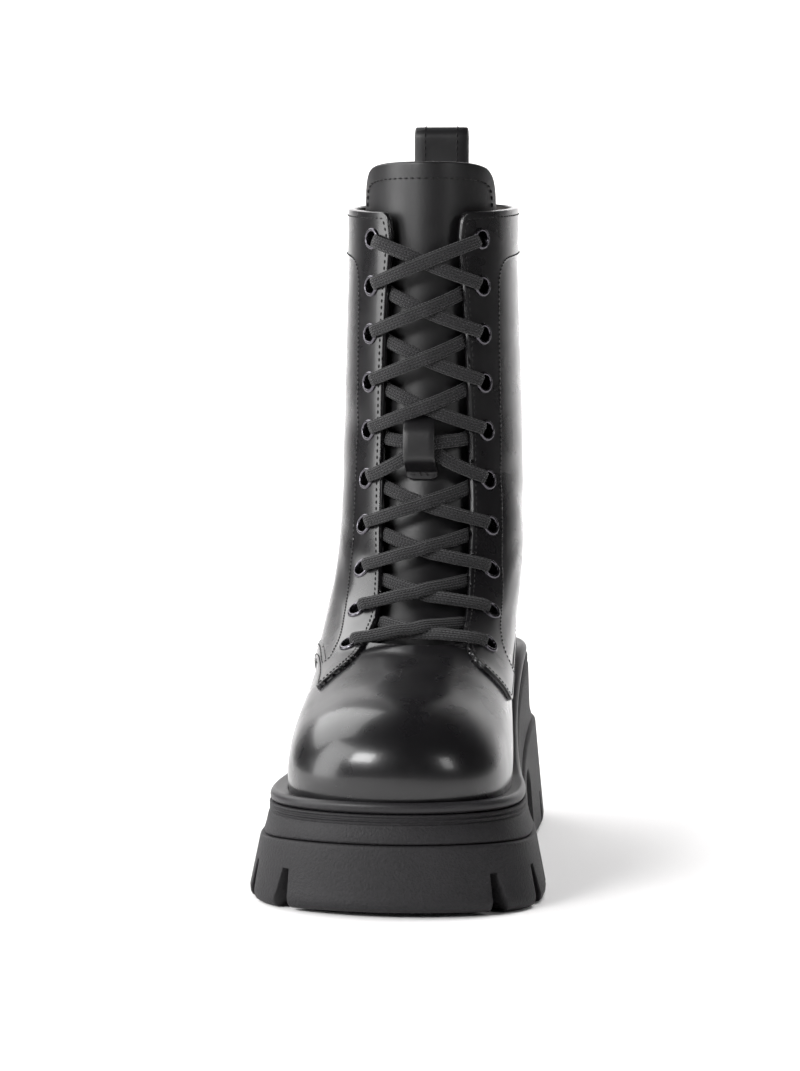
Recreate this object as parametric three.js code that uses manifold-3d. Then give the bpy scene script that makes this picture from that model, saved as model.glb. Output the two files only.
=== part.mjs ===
// Lace-up platform combat boot, right foot, EU size 39, as a Node module for three.js and manifold-3d.
// Millimetres, +Z up. The toe points to -Y, the heel to +Y and the inner side of the foot is +X.
// The origin is under the middle of the sole, on the floor that the boot stands on.
import * as THREE from 'three';
import { mergeVertices } from 'three/addons/utils/BufferGeometryUtils.js';
import Module from 'manifold-3d';

const wasm = await Module();
wasm.setup();

// ---- Driving dimensions ----

const GAP = 0.3; // between two pieces that touch
const WALL = 2.2; // leather upper with its lining
const RING_SIDES = 40; // corners in one section of the upper or the sole

// Heights of the sole along the foot: each line runs level under the ball and climbs to the heel.
const CLIMB_START_Y = -50;
const CLIMB_END_Y = 90;
const SPRING_START_Y = -90;
const TOE_Y = -148;
const LINES = {
  ledge: { ball: 26, heel: 50, toeLift: 3 }, // step between the two rubber tiers
  bed: { ball: 36, heel: 66, toeLift: 2 }, // floor that the upper stands on
  rim: { ball: 45, heel: 86, toeLift: 1.5 }, // top of the rand round the upper
};
const RAND_HEIGHT = 5.5;
const INSOLE_THICKNESS = 2.5;

// Plan outlines of the sole. Half widths are taken at five places along the foot, outer and inner side.
const OUTLINES = {
  tread: {
    toeY: -148, heelY: 148.4,
    outer: [50, 61.7, 54, 51, 44],
    inner: [52, 60.9, 51.5, 51, 44],
  },
  ledgeLow: {
    toeY: -145.2, heelY: 145.6,
    outer: [47, 57.6, 51, 47.8, 39.6],
    inner: [47.6, 57, 48.6, 47.8, 39.6],
  },
  ledgeHigh: {
    toeY: -143.8, heelY: 144.4,
    outer: [45.4, 56, 49.4, 46, 38],
    inner: [45.4, 55.4, 47, 46, 38],
  },
  rand: {
    toeY: -141.5, heelY: 142,
    outer: [43.6, 53.8, 47.2, 44.3, 36],
    inner: [42.6, 52.8, 45.2, 44.3, 36],
  },
  rim: {
    toeY: -140.8, heelY: 141.2,
    outer: [43, 53, 46.4, 43.5, 35.2],
    inner: [42, 52, 44.4, 43.5, 35.2],
  },
};

// The upper is a fan of closed sections, each leaning back from a front point to a back point (y, z).
// Then come five half widths at the toe, ball, waist, heel and back, how far the section sags to the
// climb of the sole instead of running straight, and how far its front leans to the inner side.
const SECTION_COLUMNS = [
  'frontY', 'frontZ', 'backY', 'backZ', 'toe', 'ball', 'waist', 'heel', 'back', 'sag', 'lean',
];
const SECTIONS = [
  [-136, 36.3, 131, 66.3, 36, 46.5, 41, 36.5, 28, 1, 0], // feather edge
  [-137.8, 45, 133.5, 77, 37.5, 47.5, 42.3, 37.5, 29, 0.95, 0],
  [-138.5, 55, 134.5, 89, 37.5, 47.8, 42.8, 38, 29.8, 0.85, 0],
  [-136, 65, 133.5, 101, 34.5, 46.5, 42.7, 38, 29.8, 0.7, 0],
  [-129, 74, 131.5, 111, 29.5, 43, 42.5, 38, 29.5, 0.55, 0.3],
  [-117, 81.5, 129.5, 120, 22.5, 37, 42.5, 38, 29, 0.35, 0.8], // toe box
  [-100, 86, 127.5, 129, 18, 33.5, 42, 38.5, 29, 0.2, 1.8],
  [-82, 90.3, 126, 138, 16, 32.5, 41.8, 38.5, 29, 0.08, 3],
  [-64, 95.8, 124.5, 147, 16, 34, 41.6, 38.5, 28, 0, 4.2],
  [-47, 103, 123.5, 156, 16.5, 34.8, 41.5, 38, 26.5, 0, 5], // foot of the tongue
  [-31, 113.5, 123, 166, 17, 35.2, 41.3, 37.5, 25, 0, 5],
  [-17, 127, 122.5, 177, 18, 35.4, 41, 36.8, 23.5, 0, 4.6], // instep
  [-6, 143.5, 122.5, 190, 19.5, 35.4, 40.8, 36.2, 22, 0, 4],
  [2, 163, 122.5, 204, 20, 35.3, 40.5, 35.5, 21, 0, 3.5],
  [7, 185, 123, 220, 20, 34.8, 40, 35, 20.3, 0, 3],
  [10, 210, 123.5, 238, 19.8, 34.3, 39.3, 34.5, 20, 0, 2.6],
  [12, 235, 124, 256, 19.5, 33.8, 38.6, 33.8, 19.5, 0, 2.4],
  [13.5, 260, 124.5, 274, 19, 33.1, 38, 33.2, 19.2, 0, 2.3],
  [14.5, 284.5, 125, 290, 19, 33, 37.8, 33, 19, 0, 2.2], // collar
];
const COLLAR = SECTIONS.length - 1;
const COLLAR_Z = 290;
const TOE_SKEW = 0.05; // the toe reaches further forward on the inner side
const BACK_LEAN = 1; // the back of the leg, towards the inner side

// Lace rows from the top: eyelet height, half the distance across and half the throat opening.
const LACE_ROWS = [
  { z: 273, across: 23.8, gap: 15 },
  { z: 252, across: 24.2, gap: 17 },
  { z: 230.7, across: 24.6, gap: 18.2 },
  { z: 209.3, across: 25, gap: 19, lift: 1.4 },
  { z: 188, across: 25.8, gap: 19.5, lift: 2 }, // the crossing below it runs under the lace keeper
  { z: 166.5, across: 26.6, gap: 19.8, lift: 0.4 },
  { z: 146.5, across: 27.5, gap: 20, lift: 0.7 },
  { z: 128, across: 28.1, gap: 19.7, lift: 2, swing: 3.6 },
  { z: 111.5, across: 28.7, gap: 19, lift: 3.8, swing: 1.2 }, // the lowest crossing lies over the vamp edge
  { z: 99, across: 29.3, gap: 16 },
];
const THROAT_BOTTOM_Z = 101.5;
const THROAT_TOP = { z: 310, gap: 13 };
const THROAT_BACK_Y = 70;
const LACE = { width: 5.2, thickness: 1.9, depth: 1.9, endGap: 1.2 };
const EYELET = { bore: 3.3, barrel: 3.8, flange: 5, seat: 0.7, rim: 0.8, length: 3, sides: 8 };
const EYELET_HOLE = 4.5;

const TONGUE = { width: 72, thickness: 2.8, topZ: 307.5, cornerRadius: 15, startU: 8.1, shift: 1.5 };
const TONGUE_DEPTH_LOW = 2.8; // under the edge of the vamp
const TONGUE_DEPTH_HIGH = 6.2; // behind the lace
const KEEPER = {
  width: 14, thickness: 1.4, proud: 2.9, shift: -2,
  footZ: 169.5, liftZ: 171.7, overZ: 174.6, dipZ: 187.4, tuckZ: 192.2, topZ: 199,
};
const PULL_LOOP = { width: 25, thickness: 1.8, lowZ: 258, freeZ: 304, topZ: 325.6, reach: 8.6 };
const COUNTER = { thickness: 1.4, topZ: 150, frontY: 34 };
const COUNTER_LEVELS = 12; // rings of the upper that the counter's two forms run through

// Rubber tread: heel block, arch and the lugs between the V notches.
const FLAT_FRONT_Y = -118;
const TOE_SPRING = 2;
const HEEL_BREAST_Y = 45;
const ARCH_START_Y = -22;
const ARCH_HEIGHT = 34;
const HEEL_BEVEL = { startY: 138, lift: 5 };
const NOTCH = { width: 6.5, crown: 1.5, height: 17, inward: 15 };
const NOTCH_ANGLES = [25.5, 42, 56, 68, 79, 125, 140, 158]; // degrees round the outline, on both sides

const COLOURS = {
  leather: { color: '#1b1a1c', roughness: 0.25, metalness: 0 },
  rubber: { color: '#2b2a2c', roughness: 0.75, metalness: 0 },
  rand: { color: '#242325', roughness: 0.5, metalness: 0 },
  lace: { color: '#161517', roughness: 0.9, metalness: 0 },
  gunmetal: { color: '#4a494c', roughness: 0.3, metalness: 1 },
  lining: { color: '#3a3634', roughness: 0.9, metalness: 0 },
};

// ---- Curves ----

function smoothStep(from, to, value) {
  const s = THREE.MathUtils.clamp((value - from) / (to - from), 0, 1);
  return s * s * (3 - 2 * s);
}

function lineHeight(line, y) {
  const climb = smoothStep(CLIMB_START_Y, CLIMB_END_Y, y);
  const lift = smoothStep(SPRING_START_Y, TOE_Y, y);
  return line.ball + (line.heel - line.ball) * climb + line.toeLift * lift;
}

// A sum of five sines passes through the half widths, which stand 30 degrees apart round the section.
function sineSum(widths, angle) {
  let total = 0;
  for (let n = 1; n <= widths.length; n += 1) {
    let strength = 0;
    widths.forEach((width, j) => {
      strength += (width * Math.sin((n * (j + 1) * Math.PI) / 6)) / 3;
    });
    total += strength * Math.sin(n * angle);
  }
  return total;
}

// How far a point beside the toe moves forward for each millimetre to the inner side.
function toeSkew(y) {
  return TOE_SKEW * (1 - smoothStep(-135, -75, y));
}

// A row of the section table; past either end the table goes on in a straight line.
function sectionRow(index) {
  if (index < 0) {
    return SECTIONS[0].map((value, c) => value + index * (SECTIONS[1][c] - value));
  }
  if (index > COLLAR) {
    return SECTIONS[COLLAR].map((value, c) => value + (index - COLLAR) * (value - SECTIONS[COLLAR - 1][c]));
  }
  return SECTIONS[index];
}

// A uniform cubic B-spline runs through the rows.
function sectionAt(u) {
  const first = Math.floor(u) - 1;
  const s = u - Math.floor(u);
  const weights = [(1 - s) ** 3, 3 * s ** 3 - 6 * s * s + 4, -3 * s ** 3 + 3 * s * s + 3 * s + 1, s ** 3];
  const section = {};
  SECTION_COLUMNS.forEach((column, c) => {
    section[column] = weights.reduce((sum, w, k) => sum + (w * sectionRow(first + k)[c]) / 6, 0);
  });
  return section;
}

// Outer surface of the upper: u counts sections from the feather edge, angle 0 is the front.
function upperPoint(u, angle) {
  const s = sectionAt(u);
  const along = (1 - Math.cos(angle)) / 2;
  const y = s.frontY + (s.backY - s.frontY) * along;
  const climb = smoothStep(CLIMB_START_Y, CLIMB_END_Y, y);
  const z = s.frontZ + (s.backZ - s.frontZ) * THREE.MathUtils.lerp(along, climb, s.sag)
    + s.sag * LINES.bed.toeLift * smoothStep(SPRING_START_Y, TOE_Y, y);
  const lean = THREE.MathUtils.lerp(s.lean, BACK_LEAN * smoothStep(80, 160, z), along);
  const x = sineSum([s.toe, s.ball, s.waist, s.heel, s.back], angle) + lean;
  return new THREE.Vector3(x, y - toeSkew(y) * x, z);
}

function upperNormal(u, angle) {
  const step = 0.02;
  const round = upperPoint(u, angle + step).sub(upperPoint(u, angle - step));
  const up = upperPoint(u + step, angle).sub(upperPoint(u - step, angle));
  return round.cross(up).normalize();
}

// The surface moved out by a distance; the two edges move level so that they stay flat.
function offsetPoint(u, angle, distance) {
  const normal = upperNormal(u, angle);
  if (u <= 0 || u === COLLAR) {
    normal.z = 0;
    normal.normalize();
  }
  return upperPoint(u, angle).addScaledVector(normal, distance);
}

function bisect(low, high, target, value) {
  let a = low;
  let b = high;
  for (let i = 0; i < 30; i += 1) {
    const middle = (a + b) / 2;
    if (value(middle) < target) a = middle;
    else b = middle;
  }
  return (a + b) / 2;
}

// The section and angle on the upper at a sideways place and a height, on its front or its back.
function placeOn(side, x, z) {
  const turn = (a) => (side === 'front' ? a : Math.PI - a);
  const angleAt = (u) => turn(bisect(-1.4, 1.4, x, (a) => upperPoint(u, turn(a)).x));
  const u = bisect(side === 'front' ? 6 : 0, COLLAR + 5, z, (level) => upperPoint(level, angleAt(level)).z);
  return { u, angle: angleAt(u) };
}

// Sideways place of the ridge of the instep at a height.
function ridgeX(z) {
  return upperPoint(bisect(5, COLLAR + 5, z, (u) => upperPoint(u, 0).z), 0).x;
}

// ---- Solids ----

function closedSolid(geometry) {
  geometry.deleteAttribute('normal');
  geometry.deleteAttribute('uv');
  const merged = mergeVertices(geometry, 1e-4);
  return new wasm.Manifold(new wasm.Mesh({
    numProp: 3,
    vertProperties: merged.attributes.position.array,
    triVerts: new Uint32Array(merged.index.array),
  }));
}

// A skin over rings of points. An open stack is capped across each end ring; a loop returns to its
// first ring.
function skin(rings, isLoop = false) {
  const sides = rings[0].length;
  const faces = [];
  const quad = (a, b, c, d) => faces.push([a, b, c], [a, c, d]);
  const steps = isLoop ? rings.length : rings.length - 1;
  for (let r = 0; r < steps; r += 1) {
    for (let k = 0; k < sides; k += 1) {
      const next = (r + 1) % rings.length;
      const right = (k + 1) % sides;
      quad(r * sides + k, r * sides + right, next * sides + right, next * sides + k);
    }
  }
  if (!isLoop) {
    const last = (rings.length - 1) * sides;
    for (let k = 0; k < sides / 2 - 1; k += 1) {
      quad(k, sides - 1 - k, sides - 2 - k, k + 1);
      quad(last + k, last + k + 1, last + sides - 2 - k, last + sides - 1 - k);
    }
  }
  const points = rings.flat();
  const cone = ([a, b, c]) => points[a].dot(points[b].clone().cross(points[c]));
  const volume = faces.reduce((sum, face) => sum + cone(face), 0);
  if (volume < 0) faces.forEach((face) => face.reverse());
  const geometry = new THREE.BufferGeometry().setFromPoints(points);
  geometry.setIndex(faces.flat());
  return closedSolid(geometry);
}

// An outline of [across, up] points, drawn in the plane of two axes and extruded along the third.
function prism(points, axisAcross, axisUp, start, length) {
  const shape = new THREE.Shape(points.map(([a, b]) => new THREE.Vector2(a, b)));
  const geometry = new THREE.ExtrudeGeometry(shape, { depth: length, bevelEnabled: false });
  const axisAlong = axisAcross.clone().cross(axisUp);
  geometry.applyMatrix4(new THREE.Matrix4().makeBasis(axisAcross, axisUp, axisAlong).setPosition(start));
  return closedSolid(geometry);
}

const AXIS = {
  x: new THREE.Vector3(1, 0, 0),
  y: new THREE.Vector3(0, 1, 0),
  z: new THREE.Vector3(0, 0, 1),
};

// A side outline of [y, z] points right through the boot.
function sideCut(points) {
  return prism(points, AXIS.y, AXIS.z, new THREE.Vector3(-100, 0, 0), 200);
}

function named(name, solid, colour) {
  const mesh = solid.getMesh();
  const geometry = new THREE.BufferGeometry();
  geometry.setAttribute('position', new THREE.BufferAttribute(mesh.vertProperties, 3));
  geometry.setIndex(new THREE.BufferAttribute(mesh.triVerts, 1));
  geometry.computeVertexNormals();
  const part = new THREE.Mesh(geometry, new THREE.MeshStandardMaterial(COLOURS[colour]));
  part.name = name;
  return part;
}

// Angles stand half a step off the front, so that every point has a partner across the foot.
function ringAngles() {
  return Array.from({ length: RING_SIDES }, (_, k) => {
    const angle = ((k + 0.5) * 2 * Math.PI) / RING_SIDES;
    return angle > Math.PI ? angle - 2 * Math.PI : angle;
  });
}

// ---- Sole ----

function outlinePoint(outline, angle, inset = 0) {
  const widths = (angle > 0 ? outline.inner : outline.outer).map((width) => width - inset);
  const along = (1 - Math.cos(angle)) / 2;
  const y = THREE.MathUtils.lerp(outline.toeY + inset, outline.heelY - inset, along);
  const x = sineSum(widths, angle);
  return new THREE.Vector3(x, y - toeSkew(y) * x, 0);
}

function soleRing(outline, heightAt, inset = 0) {
  return ringAngles().map((angle) => {
    const point = outlinePoint(outline, angle, inset);
    return point.setZ(heightAt(point.y));
  });
}

// What the upper takes out of the parts round it: the upper with the gap added, from the bed upwards.
function upperForm(topU, clearance) {
  const levels = [0, 0.6, 1.2, 1.8, 2.4, 3, 3.6, 4.3, topU];
  return skin(levels.map((u) => ringAngles().map((angle) => {
    const point = offsetPoint(u, angle, clearance);
    return u === 0 ? point.setZ(lineHeight(LINES.bed, point.y)) : point;
  })));
}

function notchCutters() {
  const cutters = [];
  const radius = NOTCH.crown / 2;
  for (const degrees of NOTCH_ANGLES) {
    for (const side of [-1, 1]) {
      const angle = THREE.MathUtils.degToRad(degrees) * side;
      const point = outlinePoint(OUTLINES.tread, angle);
      const ahead = outlinePoint(OUTLINES.tread, angle + 0.01);
      const along = ahead.sub(point).normalize();
      const outward = along.clone().cross(AXIS.z);
      const lean = -side * 1.6;
      const half = NOTCH.width / 2;
      const shape = [[-half, -1], [half, -1], [lean + radius, NOTCH.height - radius]];
      for (let i = 1; i < 4; i += 1) {
        const turn = (i * Math.PI) / 4;
        shape.push([lean + radius * Math.cos(turn), NOTCH.height - radius + radius * Math.sin(turn)]);
      }
      shape.push([lean - radius, NOTCH.height - radius]);
      const start = point.clone().addScaledVector(outward, -NOTCH.inward);
      cutters.push(prism(shape, along, AXIS.z, start, NOTCH.inward + 8));
    }
  }
  return cutters;
}

function makeOutsole() {
  const ledge = (y) => lineHeight(LINES.ledge, y);
  let sole = skin([
    soleRing(OUTLINES.tread, () => 0, 2.2),
    soleRing(OUTLINES.tread, () => 1.2, 0.6),
    soleRing(OUTLINES.tread, () => 4.5),
    soleRing(OUTLINES.ledgeLow, (y) => ledge(y) - 1.6),
    soleRing(OUTLINES.ledgeLow, ledge, 1.3),
  ]);
  const arch = [[ARCH_START_Y, -5], [HEEL_BREAST_Y, -5], [HEEL_BREAST_Y, 24]];
  arch.push([HEEL_BREAST_Y - 3, 31], [HEEL_BREAST_Y - 10, ARCH_HEIGHT]);
  arch.push([20, 30], [0, 21], [-14, 10], [ARCH_START_Y, 0]);
  const spring = [[-160, -5], [FLAT_FRONT_Y, -5], [FLAT_FRONT_Y, 0]];
  spring.push([-134, 0.6], [TOE_Y, TOE_SPRING], [-160, 4]);
  const bevel = [[HEEL_BEVEL.startY, -5], [160, -5], [160, HEEL_BEVEL.lift * 2], [HEEL_BEVEL.startY, 0]];
  for (const cutter of [sideCut(arch), sideCut(spring), sideCut(bevel), ...notchCutters()]) {
    sole = sole.subtract(cutter);
  }
  return sole;
}

function makeMidsole() {
  const top = (y) => lineHeight(LINES.rim, y) - RAND_HEIGHT;
  const slab = skin([
    soleRing(OUTLINES.ledgeHigh, (y) => lineHeight(LINES.ledge, y) + GAP),
    soleRing(OUTLINES.rand, top),
  ]);
  return slab.subtract(upperForm(5, GAP));
}

function makeWelt() {
  const base = (y) => lineHeight(LINES.rim, y) - RAND_HEIGHT + GAP;
  const rim = (y) => lineHeight(LINES.rim, y);
  const slab = skin([
    soleRing(OUTLINES.rand, base, 0.6),
    soleRing(OUTLINES.rand, (y) => base(y) + 1),
    soleRing(OUTLINES.rim, (y) => rim(y) - 1.4),
    soleRing(OUTLINES.rim, rim, 1.6),
  ]);
  return slab.subtract(upperForm(5, GAP));
}

function makeInsole() {
  const ring = (lift, u) => ringAngles().map((angle) => {
    const point = offsetPoint(u, angle, -WALL - GAP - 0.2);
    return point.setZ(lineHeight(LINES.bed, point.y) + lift);
  });
  return skin([ring(GAP, 0), ring(GAP + INSOLE_THICKNESS, 0.1)]);
}

// ---- Upper ----

const UPPER_LEVELS = Array.from({ length: 18 }, (_, i) => (i * COLLAR) / 17);

// A wall between two offsets of the upper, joined along both of its edges.
function upperWall(outer, inner, levels) {
  const face = (offset) => levels.map((u) => ringAngles().map((angle) => offsetPoint(u, angle, offset)));
  return skin([...face(outer), ...face(inner).reverse()], true);
}

function throatOutline() {
  const right = LACE_ROWS.slice(0, -1).map((row) => [row.gap, row.z]);
  const outline = [[THROAT_TOP.gap, THROAT_TOP.z], ...right];
  outline.push([18.4, 106], [16, 102.6], [12, THROAT_BOTTOM_Z]);
  const left = outline.map(([x, z]) => [-x, z]).reverse();
  return [...left, ...outline].map(([x, z]) => [x + ridgeX(z), z]);
}

function eyeletSeat(row, side) {
  const place = placeOn('front', ridgeX(row.z) + side * row.across, row.z);
  const normal = upperNormal(place.u, place.angle);
  const turn = new THREE.Quaternion().setFromUnitVectors(AXIS.y, normal);
  return { point: upperPoint(place.u, place.angle), turn };
}

function makeUpper() {
  const throat = prism(throatOutline(), AXIS.x, AXIS.z, new THREE.Vector3(0, THROAT_BACK_Y, 0), 300);
  let upper = upperWall(0, -WALL, UPPER_LEVELS).subtract(throat);
  for (const row of LACE_ROWS) {
    for (const side of [-1, 1]) {
      const { point, turn } = eyeletSeat(row, side);
      const drill = new THREE.CylinderGeometry(EYELET_HOLE, EYELET_HOLE, 12, EYELET.sides);
      drill.applyQuaternion(turn).translate(...point.toArray());
      upper = upper.subtract(closedSolid(drill));
    }
  }
  return upper;
}

function makeCounter() {
  const wall = upperWall(GAP + COUNTER.thickness, GAP, UPPER_LEVELS.slice(0, COUNTER_LEVELS));
  const rim = (y) => lineHeight(LINES.rim, y) + 2 * GAP;
  const foot = [COUNTER.frontY, 50, 66, 84, 104, 124, 150].map((y) => [y, rim(y)]);
  const top = [[150, COUNTER.topZ], [118, COUNTER.topZ], [96, 146], [76, 134], [58, 114], [44, 92]];
  return wall.intersect(sideCut([...foot, ...top]));
}

// A sheet over the upper: a grid of section places with the depth of its outer face, given a thickness.
function sheet(rows, thickness) {
  return skin(rows.map((row) => {
    const face = (extra) => row.map(({ u, angle, depth }) => offsetPoint(u, angle, -depth - extra));
    return [...face(0), ...face(thickness).reverse()];
  }));
}

function spread(count, from, to) {
  return Array.from({ length: count }, (_, i) => from + ((to - from) * i) / (count - 1));
}

// ---- Tongue and what is sewn to it ----

function tongueDepth(u) {
  return THREE.MathUtils.lerp(TONGUE_DEPTH_LOW, TONGUE_DEPTH_HIGH, smoothStep(TONGUE.startU, 8.9, u));
}

function makeTongue() {
  const topU = placeOn('front', 0, TONGUE.topZ).u;
  const rows = spread(17, 1, 0).map((left) => {
    const u = topU - (topU - TONGUE.startU) * left * left;
    const radius = TONGUE.cornerRadius;
    const below = THREE.MathUtils.clamp(TONGUE.topZ - upperPoint(u, 0).z, 0, radius);
    const round = radius - Math.sqrt(radius ** 2 - (radius - below) ** 2);
    const half = TONGUE.width / 2 - round * 1.1;
    return spread(11, -half, half).map((x) => {
      const middle = upperPoint(u, 0).x + TONGUE.shift;
      const angle = bisect(-1.5, 1.5, middle + x, (a) => upperPoint(u, a).x);
      return { u, angle, depth: tongueDepth(u) };
    });
  });
  return sheet(rows, TONGUE.thickness);
}

// The tab is sewn down at its foot, bows over one crossing of the lace and is tucked under the next.
function makeKeeper() {
  const sewn = TONGUE_DEPTH_HIGH - 2 * GAP - KEEPER.thickness;
  const half = KEEPER.width / 2;
  const rows = spread(15, KEEPER.footZ, KEEPER.topZ).map((z) => {
    const over = smoothStep(KEEPER.liftZ, KEEPER.overZ, z) * smoothStep(KEEPER.tuckZ, KEEPER.dipZ, z);
    const depth = THREE.MathUtils.lerp(sewn, -KEEPER.proud, over);
    const middle = ridgeX(z) + KEEPER.shift;
    return spread(4, middle - half, middle + half).map((x) => ({ ...placeOn('front', x, z), depth }));
  });
  return sheet(rows, KEEPER.thickness);
}

// A flat band of lace across the throat, from one height at the outer edge to another at the inner edge.
function laceBand(outerZ, innerZ, reach) {
  const half = LACE.width / 2;
  const rows = spread(5, -reach, reach).map((x) => {
    const z = THREE.MathUtils.lerp(outerZ, innerZ, (x / reach + 1) / 2);
    return [-half, half].map((up) => ({ ...placeOn('front', ridgeX(z) + x, z + up), depth: LACE.depth }));
  });
  return sheet(rows, LACE.thickness);
}

function makeCrossing(index) {
  const upper = LACE_ROWS[index];
  const lower = LACE_ROWS[index + 1];
  const reach = Math.min(upper.gap, lower.gap) - LACE.endGap;
  const middle = (upper.z + lower.z) / 2 + (upper.lift ?? 0);
  const swing = upper.swing ?? ((upper.z - lower.z) / 2) * (reach / upper.across);
  const rising = laceBand(middle - swing, middle + swing, reach);
  return rising.add(laceBand(middle + swing, middle - swing, reach));
}

// ---- Metal and loop ----

function makeEyelet(row, side) {
  const { bore, barrel, flange, seat, rim, length, sides } = EYELET;
  const profile = [[bore, -length], [barrel, -length], [barrel, seat], [flange, seat], [bore, seat + rim]];
  profile.push([bore, -length]);
  const ring = new THREE.LatheGeometry(profile.map(([r, y]) => new THREE.Vector2(r, y)), sides);
  const { point, turn } = eyeletSeat(row, side);
  ring.applyQuaternion(turn).translate(...point.toArray());
  return closedSolid(ring);
}

// A strip folded over the back of the collar: up the outside, round, and down the lining. It follows
// the round of the leg where it is sewn and flattens above it.
function makePullLoop() {
  const { width, thickness, lowZ, topZ, reach } = PULL_LOOP;
  const close = WALL / 2 + GAP + thickness / 2;
  const bulge = reach / 2;
  const archZ = topZ - thickness / 2 - bulge;
  const leg = spread(7, lowZ, archZ).map((z) => {
    const out = THREE.MathUtils.lerp(close, bulge, smoothStep(COLLAR_Z, PULL_LOOP.freeZ, z));
    return { out, z };
  });
  const arch = spread(7, 0, Math.PI).slice(1, -1).map((turn) => (
    { out: bulge * Math.cos(turn), z: archZ + bulge * Math.sin(turn) }));
  const path = [...leg, ...arch, ...leg.map(({ out, z }) => ({ out: -out, z })).reverse()];
  return skin(path.map((point, i) => {
    const before = path[Math.max(i - 1, 0)];
    const after = path[Math.min(i + 1, path.length - 1)];
    const length = Math.hypot(after.z - before.z, after.out - before.out);
    const face = (way) => spread(5, BACK_LEAN - width / 2, BACK_LEAN + width / 2).map((x) => {
      const out = point.out - WALL / 2 + (way * (after.z - before.z) * thickness) / 2 / length;
      const z = point.z - (way * (after.out - before.out) * thickness) / 2 / length;
      const place = placeOn('back', x, z);
      const level = upperNormal(place.u, place.angle).setZ(0).normalize();
      const onBack = upperPoint(place.u, place.angle).addScaledVector(AXIS.y, out / level.y);
      const middle = upperPoint(placeOn('back', BACK_LEAN, z).u, Math.PI).y + out;
      const flat = smoothStep(COLLAR_Z, PULL_LOOP.freeZ, z);
      return onBack.setY(THREE.MathUtils.lerp(onBack.y, middle, flat));
    });
    return [...face(1), ...face(-1).reverse()];
  }));
}

// ---- The boot ----

const boot = new THREE.Group();
boot.add(
  named('outsole', makeOutsole(), 'rubber'),
  named('midsole', makeMidsole(), 'rubber'),
  named('welt', makeWelt(), 'rand'),
  named('insole', makeInsole(), 'lining'),
  named('upper', makeUpper(), 'leather'),
  named('tongue', makeTongue(), 'leather'),
  named('lace_keeper', makeKeeper(), 'leather'),
  named('heel_counter', makeCounter(), 'leather'),
  named('pull_loop', makePullLoop(), 'leather'),
);
for (let i = 0; i < LACE_ROWS.length - 1; i += 1) {
  boot.add(named(`lace_crossing_${i + 1}`, makeCrossing(i), 'lace'));
}
LACE_ROWS.forEach((row, i) => {
  boot.add(named(`eyelet_outer_${i + 1}`, makeEyelet(row, -1), 'gunmetal'));
  boot.add(named(`eyelet_inner_${i + 1}`, makeEyelet(row, 1), 'gunmetal'));
});

export default boot;
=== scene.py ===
"""Looks of a right-foot platform combat boot, size 39: black polished leather on a two-tier rubber sole.

Shapes are worked out in millimetres, +Z up, toe to -Y, inner side of the foot to +X, and become metres
when they are put into a mesh.
"""

import bmesh
import bpy
import numpy as np
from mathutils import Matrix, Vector


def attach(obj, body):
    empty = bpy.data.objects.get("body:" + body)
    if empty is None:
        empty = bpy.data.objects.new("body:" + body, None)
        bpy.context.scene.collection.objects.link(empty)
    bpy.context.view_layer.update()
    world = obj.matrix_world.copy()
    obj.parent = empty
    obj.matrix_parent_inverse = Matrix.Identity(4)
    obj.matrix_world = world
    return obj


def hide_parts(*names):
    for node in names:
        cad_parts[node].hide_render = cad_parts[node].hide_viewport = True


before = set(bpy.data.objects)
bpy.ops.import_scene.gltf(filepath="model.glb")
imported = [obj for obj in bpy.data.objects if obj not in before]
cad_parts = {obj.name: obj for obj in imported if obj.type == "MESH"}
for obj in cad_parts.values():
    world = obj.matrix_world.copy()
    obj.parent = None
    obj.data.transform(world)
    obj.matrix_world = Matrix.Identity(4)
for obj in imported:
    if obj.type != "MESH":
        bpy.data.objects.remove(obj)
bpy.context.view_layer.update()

# ---- Camera, floor and studio light ----
# A long lens near the height of the collar, looking slightly down. The boot stands on a white
# sweep of paper that is lit brightly, with a tall soft light on the left and a dark room in front.

SWEEP_WIDTH = 9.0
SWEEP_BACK_Y = 2.6
SWEEP_RADIUS = 0.9
CAMERA_PLACE = (0.135, -1.543, 0.270)
CAMERA_HEADING = -5.27  # degrees from straight ahead, towards the outer side
CAMERA_PITCH = -4.70
CAMERA_LENS = 118.6  # millimetres, for a frame 36 mm on its longer side


def srgb(code):
    """A hex colour as linear light: each channel c becomes ((c + 0.055) / 1.055) ** 2.4, or c / 12.92."""
    c = np.array([int(code[i:i + 2], 16) for i in (1, 3, 5)]) / 255.0
    linear = np.where(c <= 0.04045, c / 12.92, ((c + 0.055) / 1.055) ** 2.4)
    return (*linear.tolist(), 1.0)


def add_node(tree, kind, settings=(), **inputs):
    """Adds a node; each input is a value or the output socket that is linked to it."""
    node = tree.nodes.new("ShaderNode" + kind)
    for key, value in dict(settings).items():
        setattr(node, key, value)
    for key, value in inputs.items():
        name = key.replace("_", " ")
        socket = node.inputs[int(name[1:])] if name[1:].isdigit() else node.inputs[name]
        if isinstance(value, bpy.types.NodeSocket):
            tree.links.new(value, socket)
        else:
            socket.default_value = value
    return node


def new_material(name, **shader):
    """A material with an empty tree but for its output and a Principled shader with these inputs."""
    material = bpy.data.materials.new(name)
    material.use_nodes = True
    tree = material.node_tree
    tree.nodes.clear()
    surface = add_node(tree, "BsdfPrincipled", **shader)
    output = add_node(tree, "OutputMaterial")
    tree.links.new(surface.outputs[0], output.inputs["Surface"])
    return material, tree, surface


def unit(vectors):
    """Vectors at length 1."""
    return vectors / np.linalg.norm(vectors, axis=-1, keepdims=True)


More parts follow.
